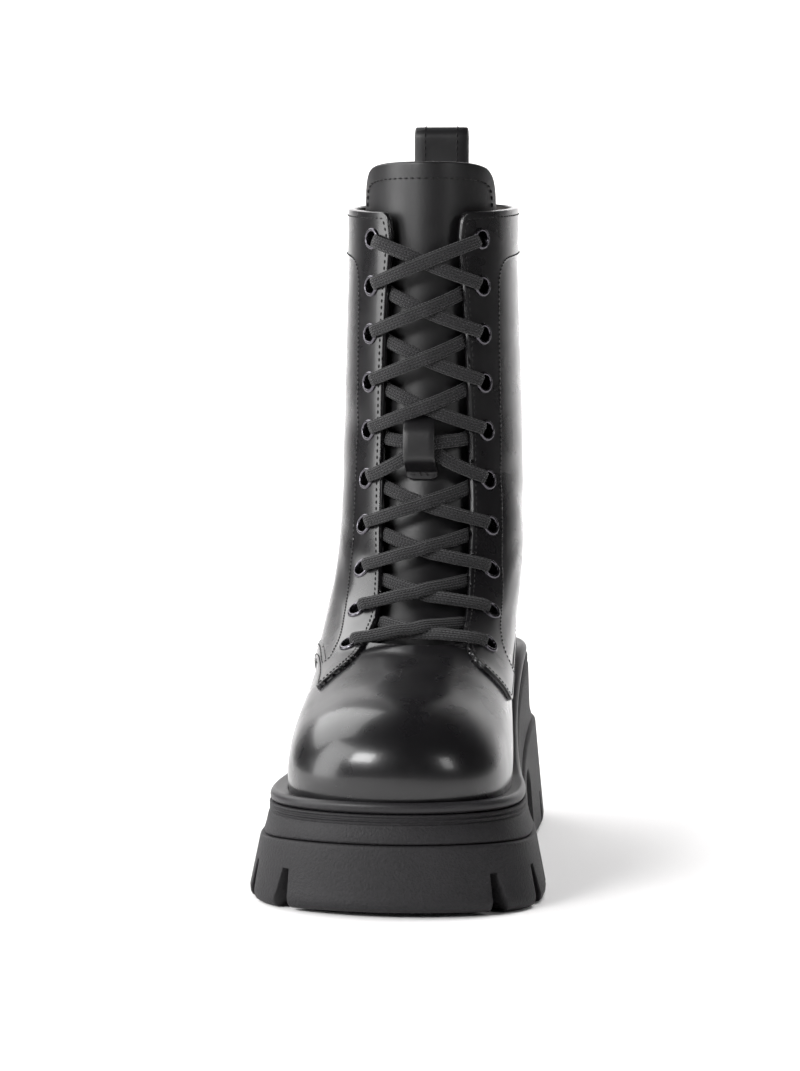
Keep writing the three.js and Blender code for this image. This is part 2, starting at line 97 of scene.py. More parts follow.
def run_along(points):
    """The distance along a line of points, from 0 at its first."""
    return np.r_[0, np.cumsum(np.linalg.norm(np.diff(points, axis=0), axis=-1))]


def at_runs(goal, run, values):
    """Rows of values, known at the distances run, read off at the distances goal."""
    return np.stack([np.interp(goal, run, values[:, k]) for k in range(values.shape[1])], -1)


def quads_of(rows, columns, close_rows=False, close_columns=False):
    """Faces of a grid of points numbered row by row, as an array of four corners each."""
    number = np.arange(rows * columns).reshape(rows, columns)
    if close_rows:
        number = np.vstack([number, number[:1]])
    if close_columns:
        number = np.hstack([number, number[:, :1]])
    corners = number[:-1, :-1], number[:-1, 1:], number[1:, 1:], number[1:, :-1]
    return np.stack(corners, -1).reshape(-1, 4)


def add_mesh(name, points, faces, materials, kinds=None, uv=None, sharp=None, closed=True):
    """Puts points in millimetres and faces into a mesh object at the origin. Doubled points are merged,
    and a closed shape has its faces turned outwards."""
    mesh = bpy.data.meshes.new(name)
    mesh.from_pydata((np.asarray(points) * 0.001).tolist(), [], np.asarray(faces).tolist())
    if kinds is not None:
        mesh.polygons.foreach_set("material_index", np.asarray(kinds, dtype=np.int32))
    if uv is not None:
        layer = mesh.uv_layers.new(name="weave")
        corner = np.zeros(len(mesh.loops), dtype=np.int32)
        mesh.loops.foreach_get("vertex_index", corner)
        layer.data.foreach_set("uv", np.asarray(uv)[corner].astype(np.float32).ravel())
    shape = bmesh.new()
    shape.from_mesh(mesh)
    bmesh.ops.remove_doubles(shape, verts=shape.verts, dist=2e-6)
    bmesh.ops.dissolve_degenerate(shape, edges=shape.edges, dist=1e-6)
    if closed:
        bmesh.ops.recalc_face_normals(shape, faces=shape.faces)
    shape.to_mesh(mesh)
    shape.free()
    mesh.polygons.foreach_set("use_smooth", np.ones(len(mesh.polygons), dtype=bool))
    if sharp is not None:
        mesh.set_sharp_from_angle(angle=np.radians(sharp))
    for material in materials:
        mesh.materials.append(material)
    piece = bpy.data.objects.new(name, mesh)
    bpy.context.scene.collection.objects.link(piece)
    return piece


camera = bpy.data.objects.new("camera", bpy.data.cameras.new("camera"))
camera.data.lens = CAMERA_LENS
camera.data.sensor_width = 36.0
camera.data.clip_end = 50.0
camera.location = CAMERA_PLACE
camera.rotation_euler = (np.radians(90.0 + CAMERA_PITCH), 0.0, np.radians(-CAMERA_HEADING))
bpy.context.scene.collection.objects.link(camera)
bpy.context.scene.camera = camera
bpy.context.scene.view_settings.view_transform = "Standard"

paper, paper_tree, paper_shader = new_material("white paper", Base_Color=srgb("#f4f3f3"), Roughness=0.9)
paper_grain = add_node(paper_tree, "TexNoise", Scale=900.0, Detail=2.0)
paper_bump = add_node(paper_tree, "Bump", Strength=0.05, Distance=0.0002, Height=paper_grain.outputs[0])
paper_tree.links.new(paper_bump.outputs[0], paper_shader.inputs["Normal"])

# The sweep runs level from in front of the camera, bends up in a quarter circle and ends upright.
bend = np.linspace(0.0, np.pi / 2, 13)
sweep_y = np.r_[-3.0, SWEEP_BACK_Y + SWEEP_RADIUS * np.sin(bend), SWEEP_BACK_Y + SWEEP_RADIUS]
sweep_z = np.r_[0.0, SWEEP_RADIUS * (1 - np.cos(bend)), 5.0]
sweep_x = np.array([-SWEEP_WIDTH / 2, SWEEP_WIDTH / 2])
sweep_points = np.stack([
    np.repeat(sweep_x[None], len(sweep_y), 0),
    np.repeat(sweep_y[:, None], 2, 1),
    np.repeat(sweep_z[:, None], 2, 1),
], -1).reshape(-1, 3)
floor = add_mesh("floor", sweep_points * 1000.0, quads_of(len(sweep_y), 2), [paper], closed=False)


def add_light(name, place, aim, size, power, mirrored=True):
    """A rectangle of light that faces the point aim; it can be kept out of the reflections."""
    data = bpy.data.lights.new(name, "AREA")
    data.shape = "RECTANGLE"
    data.size, data.size_y = size
    data.energy = power
    light = bpy.data.objects.new(name, data)
    light.location = place
    light.visible_glossy = mirrored
    light.rotation_euler = (Vector(aim) - Vector(place)).to_track_quat("-Z", "Y").to_euler()
    bpy.context.scene.collection.objects.link(light)


add_light("key_left", (-1.7, -0.45, 0.75), (0.0, 0.0, 0.15), (1.1, 1.7), 32.0)
add_light("toe_light", (-1.15, -1.5, 1.15), (0.0, -0.1, 0.08), (0.8, 0.6), 34.0)
add_light("ridge_light", (1.75, -1.2, 1.05), (0.03, -0.1, 0.08), (0.5, 0.7), 6.5)
add_light("high_left", (-1.6, 1.1, 1.9), (-0.2, 0.1, 0.0), (2.0, 1.8), 44.0)
add_light("floor_fill", (0.9, 0.9, 2.6), (0.5, -0.1, 0.0), (1.8, 1.8), 54.0, mirrored=False)
add_light("backdrop_wash", (0.0, 2.3, 1.9), (0.0, 3.3, 0.2), (3.8, 0.9), 72.0, mirrored=False)
world = bpy.data.worlds.new("room")
bpy.context.scene.world = world
world.use_nodes = True
world.node_tree.nodes["Background"].inputs["Color"].default_value = (1.0, 1.0, 1.0, 1.0)
world.node_tree.nodes["Background"].inputs["Strength"].default_value = 0.04

# ---- Outsole ----
# The lower tier: a moulded rubber tread with V notches between its lugs, a block heel and an arch. It
# is cast in one with a fine spark-eroded grain and cemented to the tier above.

CLIMB = (-50.0, 90.0)  # y where the sole starts to climb to the heel, and where it stops
SPRING = (-90.0, -148.0)
LEDGE = (26.0, 50.0, 3.0)  # height under the ball, at the heel, and extra at the toe
RIM = (45.0, 86.0, 1.5)
BED = (36.0, 66.0, 2.0)
TREAD_OUTLINE = (-148.0, 148.4, (50, 61.7, 54, 51, 44), (52, 60.9, 51.5, 51, 44))
LEDGE_LOW_OUTLINE = (-145.2, 145.6, (47, 57.6, 51, 47.8, 39.6), (47.6, 57, 48.6, 47.8, 39.6))
NOTCH_DEGREES = (25.5, 42, 56, 68, 79, 125, 140, 158)
NOTCH_WIDTH = 8.4
NOTCH_HEIGHT = 17.0
NOTCH_DEPTH = 15.5
NOTCH_LEAN = 1.6
HEEL_BREAST_Y = 45.0
HEEL_FIRST_NOTCH = 125  # degrees, the first notch behind the front of the heel
ARCH_FRONT_Y = -22.0
ARCH_LENGTH = 52.0
ARCH_RISE = 34.0
ARCH_FILLET_Y = 35.0
RECESS_INSET = 16.5
RECESS_HEIGHT = 4.5
FILL_COLUMNS = (16, 8, 8, 7, 6, 24, 12, 8, 10, 12)  # steps between one notch and the next


def smooth_step(low, high, value):
    """0 before low, 1 after high, and s * s * (3 - 2 s) between them."""
    s = np.clip((value - low) / (high - low), 0.0, 1.0)
    return s * s * (3.0 - 2.0 * s)


def line_height(line, y):
    """Height of one line of the sole: level under the ball, climbing to the heel, lifted at the toe."""
    ball, heel, toe = line
    return ball + (heel - ball) * smooth_step(*CLIMB, y) + toe * smooth_step(*SPRING, y)


WAVES = np.sin(np.outer(np.arange(1, 6), np.arange(1, 6)) * np.pi / 6) / 3


def sine_sum(widths, angle):
    """A sum of five sines of the angle that passes through five half widths, 30 degrees apart."""
    strengths = np.asarray(widths, float) @ WAVES.T
    return (strengths * np.sin(np.asarray(angle)[..., None] * np.arange(1, 6))).sum(-1)


def toe_skew(y):
    """How far a point beside the toe moves forward for each millimetre to the inner side."""
    return 0.05 * (1.0 - smooth_step(-135.0, -75.0, y))


def outline_point(outline, angle, inset=0.0):
    """x and y on a plan outline, inset from it. The angle runs from the toe, positive on the inner side:
    y goes along by (1 - cos) / 2 and x is the sine sum of the half widths."""
    toe, heel, outer, inner = outline
    angle, inset = np.broadcast_arrays(np.asarray(angle, float), np.asarray(inset, float))
    side = np.where((angle > 0)[..., None], np.asarray(inner, float), np.asarray(outer, float))
    y = toe + inset + (heel - toe - 2 * inset) * (1 - np.cos(angle)) / 2
    x = sine_sum(side - inset[..., None], angle)
    return x, y - toe_skew(y) * x


def rubber_material(name, colour, roughness, grain, depth):
    """Moulded black rubber: a matte skin with a spark-eroded grain as bump. Its colour is painted shade,
    darker in the grain's pits and lighter on its peaks, with broad blotches of tone at random.
    """
    material, tree, shader = new_material(
        name, Base_Color=srgb(colour), Roughness=roughness, Specular_IOR_Level=0.32)
    place = add_node(tree, "TexCoord").outputs["Object"]
    fine = add_node(tree, "TexNoise", Vector=place, Scale=grain, Detail=3.0, Roughness=0.6)
    broad = add_node(tree, "TexNoise", Vector=place, Scale=38.0, Detail=4.0)
    broad_part = add_node(tree, "Math", {"operation": "MULTIPLY"}, _0=broad.outputs[0], _1=0.4)
    pit_shade_and_blotches = add_node(tree, "Math", {"operation": "MULTIPLY_ADD"}, _0=fine.outputs[0], _1=0.9,
                     _2=broad_part.outputs[0])
    # Painted shade: the colour follows the grain's bump, darker where it is low and lighter where it is high;
    # the broad noise adds random blotches of tone.
    shade = add_node(tree, "ValToRGB", Fac=pit_shade_and_blotches.outputs[0])
    shade.color_ramp.elements[0].position = 0.3
    shade.color_ramp.elements[0].color = np.array(srgb(colour)) * (0.45, 0.45, 0.45, 1.0)
    shade.color_ramp.elements[1].position = 1.0
    shade.color_ramp.elements[1].color = np.minimum(np.array(srgb(colour)) * 1.6, 1.0)
    tree.links.new(shade.outputs[0], shader.inputs["Base Color"])
    rough = add_node(tree, "MapRange", Value=fine.outputs[0], To_Min=roughness - 0.07, To_Max=roughness + 0.1)
    tree.links.new(rough.outputs[0], shader.inputs["Roughness"])
    bump = add_node(tree, "Bump", Strength=0.75, Distance=depth, Height=fine.outputs[0])
    tree.links.new(bump.outputs[0], shader.inputs["Normal"])
    return material


# Grain pits are about 0.3 mm in the mould; drawn at 1.1 mm so that they show.
sole_rubber = rubber_material("moulded sole rubber, matte", "#1f1e20", 0.6, 900.0, 0.0006)


def notch_columns(degrees, outline, side):
    """Nine columns of one notch: angle at the floor, angle at the crown and depth. They stand at
    millimetres from the middle of the notch, which narrows to its crown and leans to the toe."""
    middle = np.radians(degrees)
    ahead = np.array(outline_point(outline, side * (middle + 0.01)))
    behind = np.array(outline_point(outline, side * (middle - 0.01)))
    speed = np.linalg.norm(ahead - behind) / 0.02
    half = NOTCH_WIDTH / 2
    low = np.array([-half - 1.4, -half - 0.45, -half, -half + 0.12, 0, half - 0.12, half, half + 0.45,
                    half + 1.4])
    high = np.array([-2.8, -1.9, -1.5, -1.35, 0, 1.35, 1.5, 1.9, 2.8]) - NOTCH_LEAN
    depth = np.array([0, 0.1, 0.5, 1, 1, 1, 0.5, 0.1, 0])
    depth = np.where(depth == 1, NOTCH_DEPTH, depth)
    return np.stack([middle + low / speed, middle + high / speed, depth, np.zeros(9)], -1)


def wall_columns(side):
    """All columns of one side from the toe to the heel. The stretches between two notches are filled
    with even steps, and the front of the heel block takes a close pair of columns."""
    toe, heel = TREAD_OUTLINE[:2]
    breast = np.arccos(1 - 2 * (HEEL_BREAST_Y - toe) / (heel - toe))
    pair = [[breast - 0.004, breast - 0.004, 0, 1], [breast + 0.004, breast + 0.004, 0, 0]]
    stops = [notch_columns(d, TREAD_OUTLINE, side) for d in NOTCH_DEGREES]
    stops.insert(NOTCH_DEGREES.index(HEEL_FIRST_NOTCH), np.array(pair))
    stops = [np.array([[0.0, 0.0, 0, 0]]), *stops, np.array([[np.pi, np.pi, 0, 0]])]
    columns = [stops[0]]
    for before, after in zip(stops[:-1], stops[1:]):
        count = FILL_COLUMNS[len(columns) // 2]
        t = np.arange(1, count)[:, None] / count
        fill = before[-1] + (after[0] - before[-1]) * t
        fill[:, 2] = 0
        fill[:, 3] = 0
        columns += [fill, after]
    return np.vstack(columns)


def arch_height(y):
    """Height of the underside: 0 on the floor, a sine rise from the ball to the arch, and a fillet in
    front of the heel."""
    rise = ARCH_RISE * np.sin(np.pi / 2 * np.clip((y - ARCH_FRONT_Y) / ARCH_LENGTH, 0, 1) ** 0.95)
    return rise - 0.1 * np.clip(y - ARCH_FILLET_Y, 0, 10) ** 2


# Rows of the wall are (height, inset); rows of the top edge are (height over the ledge, inset).
WALL_ROWS = np.array([
    (0, 2.9), (0.3, 1.7), (1.0, 0.8), (2.3, 0.2), (4.5, 0), (8, 0), (12, 0), (15.2, 0), (16.9, 0), (17.1, 0),
    (21, 0)])
TOP_ROWS = np.array([(-1.6, 0), (-0.7, 0.2), (-0.2, 0.6), (0, 1.3), (0, 9.0)])


def side_wall(side):
    """Points of one side of the outsole: rows from the floor to the ledge, for every column."""
    floor_angle, crown_angle, depth, _ = wall_columns(side).T
    y0 = outline_point(TREAD_OUTLINE, side * floor_angle)[1]
    breast = y0 < HEEL_BREAST_Y
    under = np.where(breast & (y0 > ARCH_FRONT_Y), arch_height(y0), 0.0)
    top = line_height(LEDGE, y0)
    rows = []
    for height, inset in WALL_ROWS:
        low = min(height / NOTCH_HEIGHT, 1.0)
        angle = side * (floor_angle + (crown_angle - floor_angle) * low)
        set_in = np.where(height < NOTCH_HEIGHT, depth, 0.0)
        z = under + height * (top - under) / top
        z = np.where(set_in > 1, np.maximum(z, under + RECESS_HEIGHT), z)
        share = np.clip((z - 4.5) / (top - 6.1), 0, 1)
        ax, ay = outline_point(TREAD_OUTLINE, angle, inset + set_in)
        bx, by = outline_point(LEDGE_LOW_OUTLINE, angle, inset + set_in)
        spring = 2.0 * smooth_step(-118.0, -148.0, ay) * (height < 5)
        bevel = 3.0 * smooth_step(136.0, 148.0, ay) * (height < 5)
        rows.append(np.stack([ax + (bx - ax) * share, ay + (by - ay) * share, z + spring + bevel], -1))
    for drop, inset in TOP_ROWS:
        bx, by = outline_point(LEDGE_LOW_OUTLINE, side * crown_angle, inset)
        rows.append(np.stack([bx, by, line_height(LEDGE, by) + drop], -1))
    return np.stack(rows, 1), under, depth, breast & (y0 > -26.0)


def make_outsole():
    """Each column is a loop: down the inner wall, across the underside in a chord with the recess of
    the tread in it, up the outer wall and back across the top."""
    inner, under, depth, arched = side_wall(1)
    outer, _, _, _ = side_wall(-1)
    inner[[0, -1], :, 0] = 0.0
    outer[[0, -1]] = inner[[0, -1]]
    start, end = inner[:, 0], outer[:, 0]
    half = np.linalg.norm(start - end, axis=-1) / 2
    reach = np.where(depth > 1, 0.4, RECESS_INSET - 2.9)
    raised = np.where(arched, 0.0, RECESS_HEIGHT) * smooth_step(14.0, 22.0,
                                                                half + np.where(depth > 1, 14.0, 0.0))
    chord = []
    for share in (1.0, 1.07, -1.0):
        along = np.minimum(reach * abs(share), half * 0.55 * abs(share)) if share > 0 else half
        t = np.divide(along, 2 * half, out=np.full_like(half, 0.5), where=half > 1e-6)[:, None]
        lift = np.where(depth > 1, raised, raised * (share != 1.0))
        chord.append((start + (end - start) * t, end + (start - end) * t, lift))
    points = [inner[:, ::-1]]
    for near, _, lift in chord:
        near = near.copy()
        near[:, 2] = np.where(depth > 1, under + RECESS_HEIGHT, near[:, 2] + lift)
        points.append(near[:, None])
    for _, far, lift in chord[-2::-1]:
        far = far.copy()
        far[:, 2] = np.where(depth > 1, under + RECESS_HEIGHT, far[:, 2] + lift)
        points.append(far[:, None])
    points.append(outer)
    grid = np.concatenate(points, 1)
    columns, around = grid.shape[:2]
    return grid.reshape(-1, 3), quads_of(columns, around, close_columns=True)


outsole_points, outsole_faces = make_outsole()
outsole = add_mesh("outsole_tread", outsole_points, outsole_faces, [sole_rubber], sharp=42)
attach(outsole, "root")
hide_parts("outsole")


def bar_grid(middle, length, width, height, sweep):
    """A chevron bar of the tread: a rounded box whose ends run back by sweep from its middle."""
    across = np.linspace(-1, 1, 15)
    profile = np.array([(-1, 1), (-1, 0.25), (-0.93, 0.06), (-0.8, 0), (0.8, 0), (0.93, 0.06), (1, 0.25),
                        (1, 1)])
    x = middle[0] + across[:, None] * length / 2 * np.ones(len(profile))
    y = middle[1] + np.abs(across)[:, None] * sweep + profile[:, 0] * width / 2
    z = np.repeat((profile[:, 1] * height)[None], len(across), 0)
    ends = np.stack([x, y, z], -1)
    caps = [np.repeat(e.mean(0)[None], len(profile), 0)[None] for e in (ends[0], ends[-1])]
    return np.concatenate([caps[0], ends, caps[1]])


# Chevron bars stand in the recess under the ball and the heel, level with the lugs.
bars = [bar_grid((1.0, y), length, 7.0, RECESS_HEIGHT + 1.0, 6.0) for y, length in (
    (-112, 46), (-98, 58), (-84, 66), (-70, 68), (-56, 66), (-42, 60), (62, 52), (76, 52), (90, 52),
    (104, 48))]
bar_faces = quads_of(*bars[0].shape[:2], close_columns=True)
bar_size = bars[0].shape[0] * bars[0].shape[1]
tread_bars = add_mesh(
    "tread_bars", np.concatenate([b.reshape(-1, 3) for b in bars]),
    np.concatenate([bar_faces + i * bar_size for i in range(len(bars))]), [sole_rubber], sharp=42)
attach(tread_bars, "root")

# ---- Midsole ----
# The upper tier: a slab of foamed rubber with the same grain. Its upper edge is a smooth rand, where
# two moulded grooves run right round under the welt.

LEDGE_HIGH_OUTLINE = (-143.8, 144.4, (45.4, 56, 49.4, 46, 38), (45.4, 55.4, 47, 46, 38))
RAND_OUTLINE = (-141.5, 142.0, (43.6, 53.8, 47.2, 44.3, 36), (42.6, 52.8, 45.2, 44.3, 36))
RIM_OUTLINE = (-140.8, 141.2, (43, 53, 46.4, 43.5, 35.2), (42, 52, 44.4, 43.5, 35.2))
RAND_BASE = 5.5
ROUND = np.linspace(-np.pi, np.pi, 361)[:-1]


def sole_band(rows):
    """A closed band round the sole. Each row is: outline, line of the sole, height above it, inset."""
    rings = []
    for outline, line, rise, inset in rows:
        x, y = outline_point(outline, ROUND, inset)
        rings.append(np.stack([x, y, line_height(line, y) + rise], -1))
    return np.stack(rings).reshape(-1, 3), quads_of(len(rows), len(ROUND), True, True)


def between(low, high, share):
    """An outline a share of the way from one outline to another."""
    return tuple(np.asarray(a, float) + (np.asarray(b, float) - np.asarray(a, float)) * share
                 for a, b in zip(low, high))


def groove_rows(height):
    """Rows across one rounded groove, 0.7 mm deep and 1.6 mm wide."""
    turn = np.linspace(-1, 1, 7)
    return [(RAND_OUTLINE, RIM, height + 0.8 * t, 0.7 * (1 - t * t)) for t in turn]


midsole_rows = [
    (LEDGE_HIGH_OUTLINE, LEDGE, 0.3, 9.0), (LEDGE_HIGH_OUTLINE, LEDGE, 0.3, 0.5),
    (LEDGE_HIGH_OUTLINE, LEDGE, 0.7, 0.1),
    (LEDGE_HIGH_OUTLINE, LEDGE, 1.4, 0.0),
    (between(LEDGE_HIGH_OUTLINE, RAND_OUTLINE, 0.45), LEDGE, 5.0, 0.0),
    (between(LEDGE_HIGH_OUTLINE, RAND_OUTLINE, 0.8), RIM, -10.6, 0.0),
    (RAND_OUTLINE, RIM, -9.9, 0.0), *groove_rows(-8.9), *groove_rows(-7.0),
    (RAND_OUTLINE, RIM, -6.0, 0.0), (RAND_OUTLINE, RIM, -5.6, 0.3), (RAND_OUTLINE, RIM, -5.5, 0.8),
    (RAND_OUTLINE, RIM, -5.5, 9.0)]
midsole = add_mesh("midsole_tier", *sole_band(midsole_rows), [sole_rubber], sharp=50)
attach(midsole, "root")
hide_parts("midsole")

# ---- Welt ----
# A smooth half-round bead of harder rubber that closes the joint between the upper and the sole. It
# comes out of a polished mould, so it has a low sheen.

bead_rubber = rubber_material("welt rubber, semi-gloss", "#232224", 0.42, 2200.0, 0.00005)
bead = np.linspace(-np.pi / 2, np.pi / 2, 13)
welt_rows = [(RIM_OUTLINE, RIM, -RAND_BASE + 0.3, 6.0)]
welt_rows += [(RIM_OUTLINE, RIM, -2.9 + 2.35 * np.sin(t), 1.5 - 1.9 * np.cos(t)) for t in bead]
welt_rows += [(RIM_OUTLINE, RIM, -0.7, 2.2), (RIM_OUTLINE, RIM, -1.4, 6.0)]
welt = add_mesh("welt_bead", *sole_band(welt_rows), [bead_rubber], sharp=60)
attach(welt, "root")
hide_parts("welt")

# ---- Insole ----
# A fabric-covered footbed, glued to the sole inside the upper and cupped a little at its edge.

SECTIONS = np.array([
    # front y, z; back y, z; half widths at toe, ball, waist, heel, back; sag to the sole; lean of the ridge
    (-136, 36.3, 131, 66.3, 36, 46.5, 41, 36.5, 28, 1, 0),  # feather edge
    (-137.8, 45, 133.5, 77, 37.5, 47.5, 42.3, 37.5, 29, 0.95, 0),
    (-138.5, 55, 134.5, 89, 37.5, 47.8, 42.8, 38, 29.8, 0.85, 0),
    (-136, 65, 133.5, 101, 34.5, 46.5, 42.7, 38, 29.8, 0.7, 0),
    (-129, 74, 131.5, 111, 29.5, 43, 42.5, 38, 29.5, 0.55, 0.3),
    (-117, 81.5, 129.5, 120, 22.5, 37, 42.5, 38, 29, 0.35, 0.8),
    (-100, 86, 127.5, 129, 18, 33.5, 42, 38.5, 29, 0.2, 1.8),
    (-82, 90.3, 126, 138, 16, 32.5, 41.8, 38.5, 29, 0.08, 3),
    (-64, 95.8, 124.5, 147, 16, 34, 41.6, 38.5, 28, 0, 4.2),
    (-47, 103, 123.5, 156, 16.5, 34.8, 41.5, 38, 26.5, 0, 5),
    (-31, 113.5, 123, 166, 17, 35.2, 41.3, 37.5, 25, 0, 5),
    (-17, 127, 122.5, 177, 18, 35.4, 41, 36.8, 23.5, 0, 4.6),
    (-6, 143.5, 122.5, 190, 19.5, 35.4, 40.8, 36.2, 22, 0, 4),
    (2, 163, 122.5, 204, 20, 35.3, 40.5, 35.5, 21, 0, 3.5),
    (7, 185, 123, 220, 20, 34.8, 40, 35, 20.3, 0, 3),
    (10, 210, 123.5, 238, 19.8, 34.3, 39.3, 34.5, 20, 0, 2.6),
    (12, 235, 124, 256, 19.5, 33.8, 38.6, 33.8, 19.5, 0, 2.4),
    (13.5, 260, 124.5, 274, 19, 33.1, 38, 33.2, 19.2, 0, 2.3),
    (14.5, 284.5, 125, 290, 19, 33, 37.8, 33, 19, 0, 2.2),  # collar
], float)
COLLAR = len(SECTIONS) - 1
SPARE_ROWS = 8  # the table goes on in a straight line past both ends
section_rows = np.vstack([
    SECTIONS[0] + np.arange(-SPARE_ROWS, 0)[:, None] * (SECTIONS[1] - SECTIONS[0]), SECTIONS,
    SECTIONS[-1] + np.arange(1, SPARE_ROWS)[:, None] * (SECTIONS[-1] - SECTIONS[-2])])


def upper_point(u, angle):
    """A point of the upper's outer face. u counts the sections, with a uniform cubic B-spline between
    them. A section runs from its front to its back by (1 - cos angle) / 2 and its height follows that
    share or, as far as it sags, the climb of the sole. Its width is the sine sum of its half widths."""
    u, angle = np.broadcast_arrays(np.asarray(u, float), np.asarray(angle, float))
    first = np.floor(u).astype(int)
    s = (u - first)[..., None]
    i = first + SPARE_ROWS - 1
    row = ((1 - s) ** 3 * section_rows[i] + (3 * s ** 3 - 6 * s ** 2 + 4) * section_rows[i + 1]
           + (-3 * s ** 3 + 3 * s ** 2 + 3 * s + 1) * section_rows[i + 2] + s ** 3 * section_rows[i + 3]) / 6
    along = (1 - np.cos(angle)) / 2
    y = row[..., 0] + (row[..., 2] - row[..., 0]) * along
    sag = row[..., 9]
    share = along + (smooth_step(*CLIMB, y) - along) * sag
    z = row[..., 1] + (row[..., 3] - row[..., 1]) * share + sag * BED[2] * smooth_step(*SPRING, y)
    x = sine_sum(row[..., 4:9], angle) + row[..., 10] + (smooth_step(80, 160, z) - row[..., 10]) * along
    return np.stack([x, y - toe_skew(y) * x, z], -1)


def upper_normal(u, angle):
    """The outward normal, from the differences round and up the surface."""
    step = 0.02
    across = upper_point(u, angle + step) - upper_point(u, angle - step)
    rise = upper_point(u + step, angle) - upper_point(u - step, angle)
    return unit(np.cross(across, rise))


lining_cloth, lining_tree, lining_shader = new_material("lining cloth, woven", Base_Color=srgb("#34302e"),
                                                        Roughness=0.9)
lining_place = add_node(lining_tree, "TexCoord").outputs["Object"]
# The threads of the lining stand 0.7 mm apart.
lining_threads = [
    add_node(lining_tree, "TexWave", {"bands_direction": way}, Vector=lining_place, Scale=1 / 0.0007 / 3.18)
    for way in ("X", "Z")]
lining_weave = add_node(lining_tree, "Math", {"operation": "MAXIMUM"}, _0=lining_threads[0].outputs["Fac"],
                        _1=lining_threads[1].outputs["Fac"])
lining_bump = add_node(lining_tree, "Bump", Strength=0.6, Distance=0.0002, Height=lining_weave.outputs[0])
lining_tree.links.new(lining_bump.outputs[0], lining_shader.inputs["Normal"])

round_half = np.linspace(0, np.pi, 121)
insole_loops = []
for rise, inset in ((0.4, 6.0), (0.4, 3.4), (2.6, 3.0), (3.2, 3.4), (3.3, 5.0), (2.8, 12.0)):
    level = []
    for side in (1, -1):
        normal = unit(upper_normal(0.1, side * round_half) * (1, 1, 0))
        place = upper_point(0.1, side * round_half) - normal * inset
        place[:, 2] = line_height(BED, place[:, 1]) + rise
        place[[0, -1], 0] = 0.0
        level.append(place)
    insole_loops.append(level)
insole_grid = np.stack([l[0] for l in insole_loops] + [l[1] for l in insole_loops[::-1]], 1)
insole = add_mesh("footbed", insole_grid.reshape(-1, 3), quads_of(*insole_grid.shape[:2], close_columns=True),
                  [lining_cloth])
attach(insole, "root")
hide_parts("insole")

# ---- Leather ----
# Corrected-grain cowhide, polished: a thin clear finish over black dye, with a fine grain that shows
# only in the reflections. The cut edges are inked and buffed.

# Grain cells are about 0.35 mm across on the real hide; drawn at 1.3 mm so that they show.
GRAIN_SCALE = 1 / 0.0013


def leather_material(name, roughness, coat, grain):
    """Polished leather: cells and fine wrinkles as bump, a slightly uneven shine, and a clear coat."""
    material, tree, shader = new_material(
        name, Base_Color=srgb("#141315"), Roughness=roughness, IOR=1.5, Coat_Weight=coat, Coat_Roughness=0.12,
        Coat_IOR=1.45)
    place = add_node(tree, "TexCoord").outputs["Object"]
    cells = add_node(tree, "TexVoronoi", {"feature": "SMOOTH_F1"}, Vector=place, Scale=GRAIN_SCALE,
                     Smoothness=0.5)
    waves = add_node(tree, "TexNoise", Vector=place, Scale=70.0, Detail=3.0)
    patches = add_node(tree, "TexNoise", Vector=place, Scale=16.0, Detail=2.0)
    shade = add_node(tree, "ValToRGB", Fac=patches.outputs[0])
    shade.color_ramp.elements[0].color = srgb("#0b0a0c")
    shade.color_ramp.elements[1].color = srgb("#131214")
    tree.links.new(shade.outputs[0], shader.inputs["Base Color"])
    rough = add_node(tree, "MapRange", Value=waves.outputs[0], From_Min=0.3, From_Max=0.7,
                     To_Min=roughness - 0.03,
                     To_Max=roughness + 0.05)
    tree.links.new(rough.outputs[0], shader.inputs["Roughness"])
    fine = add_node(tree, "Bump", Strength=grain, Distance=0.00003, Height=cells.outputs[0])
    soft = add_node(tree, "Bump", Strength=0.12, Distance=0.0004, Height=waves.outputs[0],
                    Normal=fine.outputs[0])
    tree.links.new(soft.outputs[0], shader.inputs["Normal"])
    tree.links.new(soft.outputs[0], shader.inputs["Coat Normal"])
    return material


leather = leather_material("polished leather", 0.28, 0.3, 0.15)
satin_leather = leather_material("satin leather", 0.42, 0.0, 0.7)
thread = new_material("waxed thread", Base_Color=srgb("#0b0a0b"), Roughness=0.75)[0]

# Creases: each is a soft trough or ridge along a line, with its own depth and width.
# (y and z of its middle on the ridge, run of the line back per millimetre out, depth, half width, reach)
CREASES = (
    (-60.0, 0.30, -0.55, 4.5, 26.0),
    (-49.0, 0.42, 0.40, 4.0, 24.0),
    (-75.0, 0.20, 0.35, 6.0, 24.0),
)
CREASE_X = 4.0  # the ridge over the instep leans to the inner side by this much
SIDE_CREASES = (  # side, y and z of the middle, slope of the line, depth, half width, half length
    (1, 6.0, 118.0, 0.55, -0.8, 5.0, 26.0),
    (1, 14.0, 133.0, 0.40, -0.6, 4.5, 22.0),
    (1, 30.0, 168.0, 0.20, -0.5, 6.0, 24.0),
    (-1, 4.0, 120.0, 0.60, -0.8, 5.0, 26.0),
    (-1, 12.0, 137.0, 0.40, -0.6, 5.0, 24.0),
    (-1, 34.0, 190.0, 0.15, -0.5, 7.0, 28.0),
    (1, 60.0, 150.0, -0.5, -0.7, 7.0, 24.0),
    (-1, 66.0, 152.0, -0.5, -0.7, 7.0, 24.0),
)


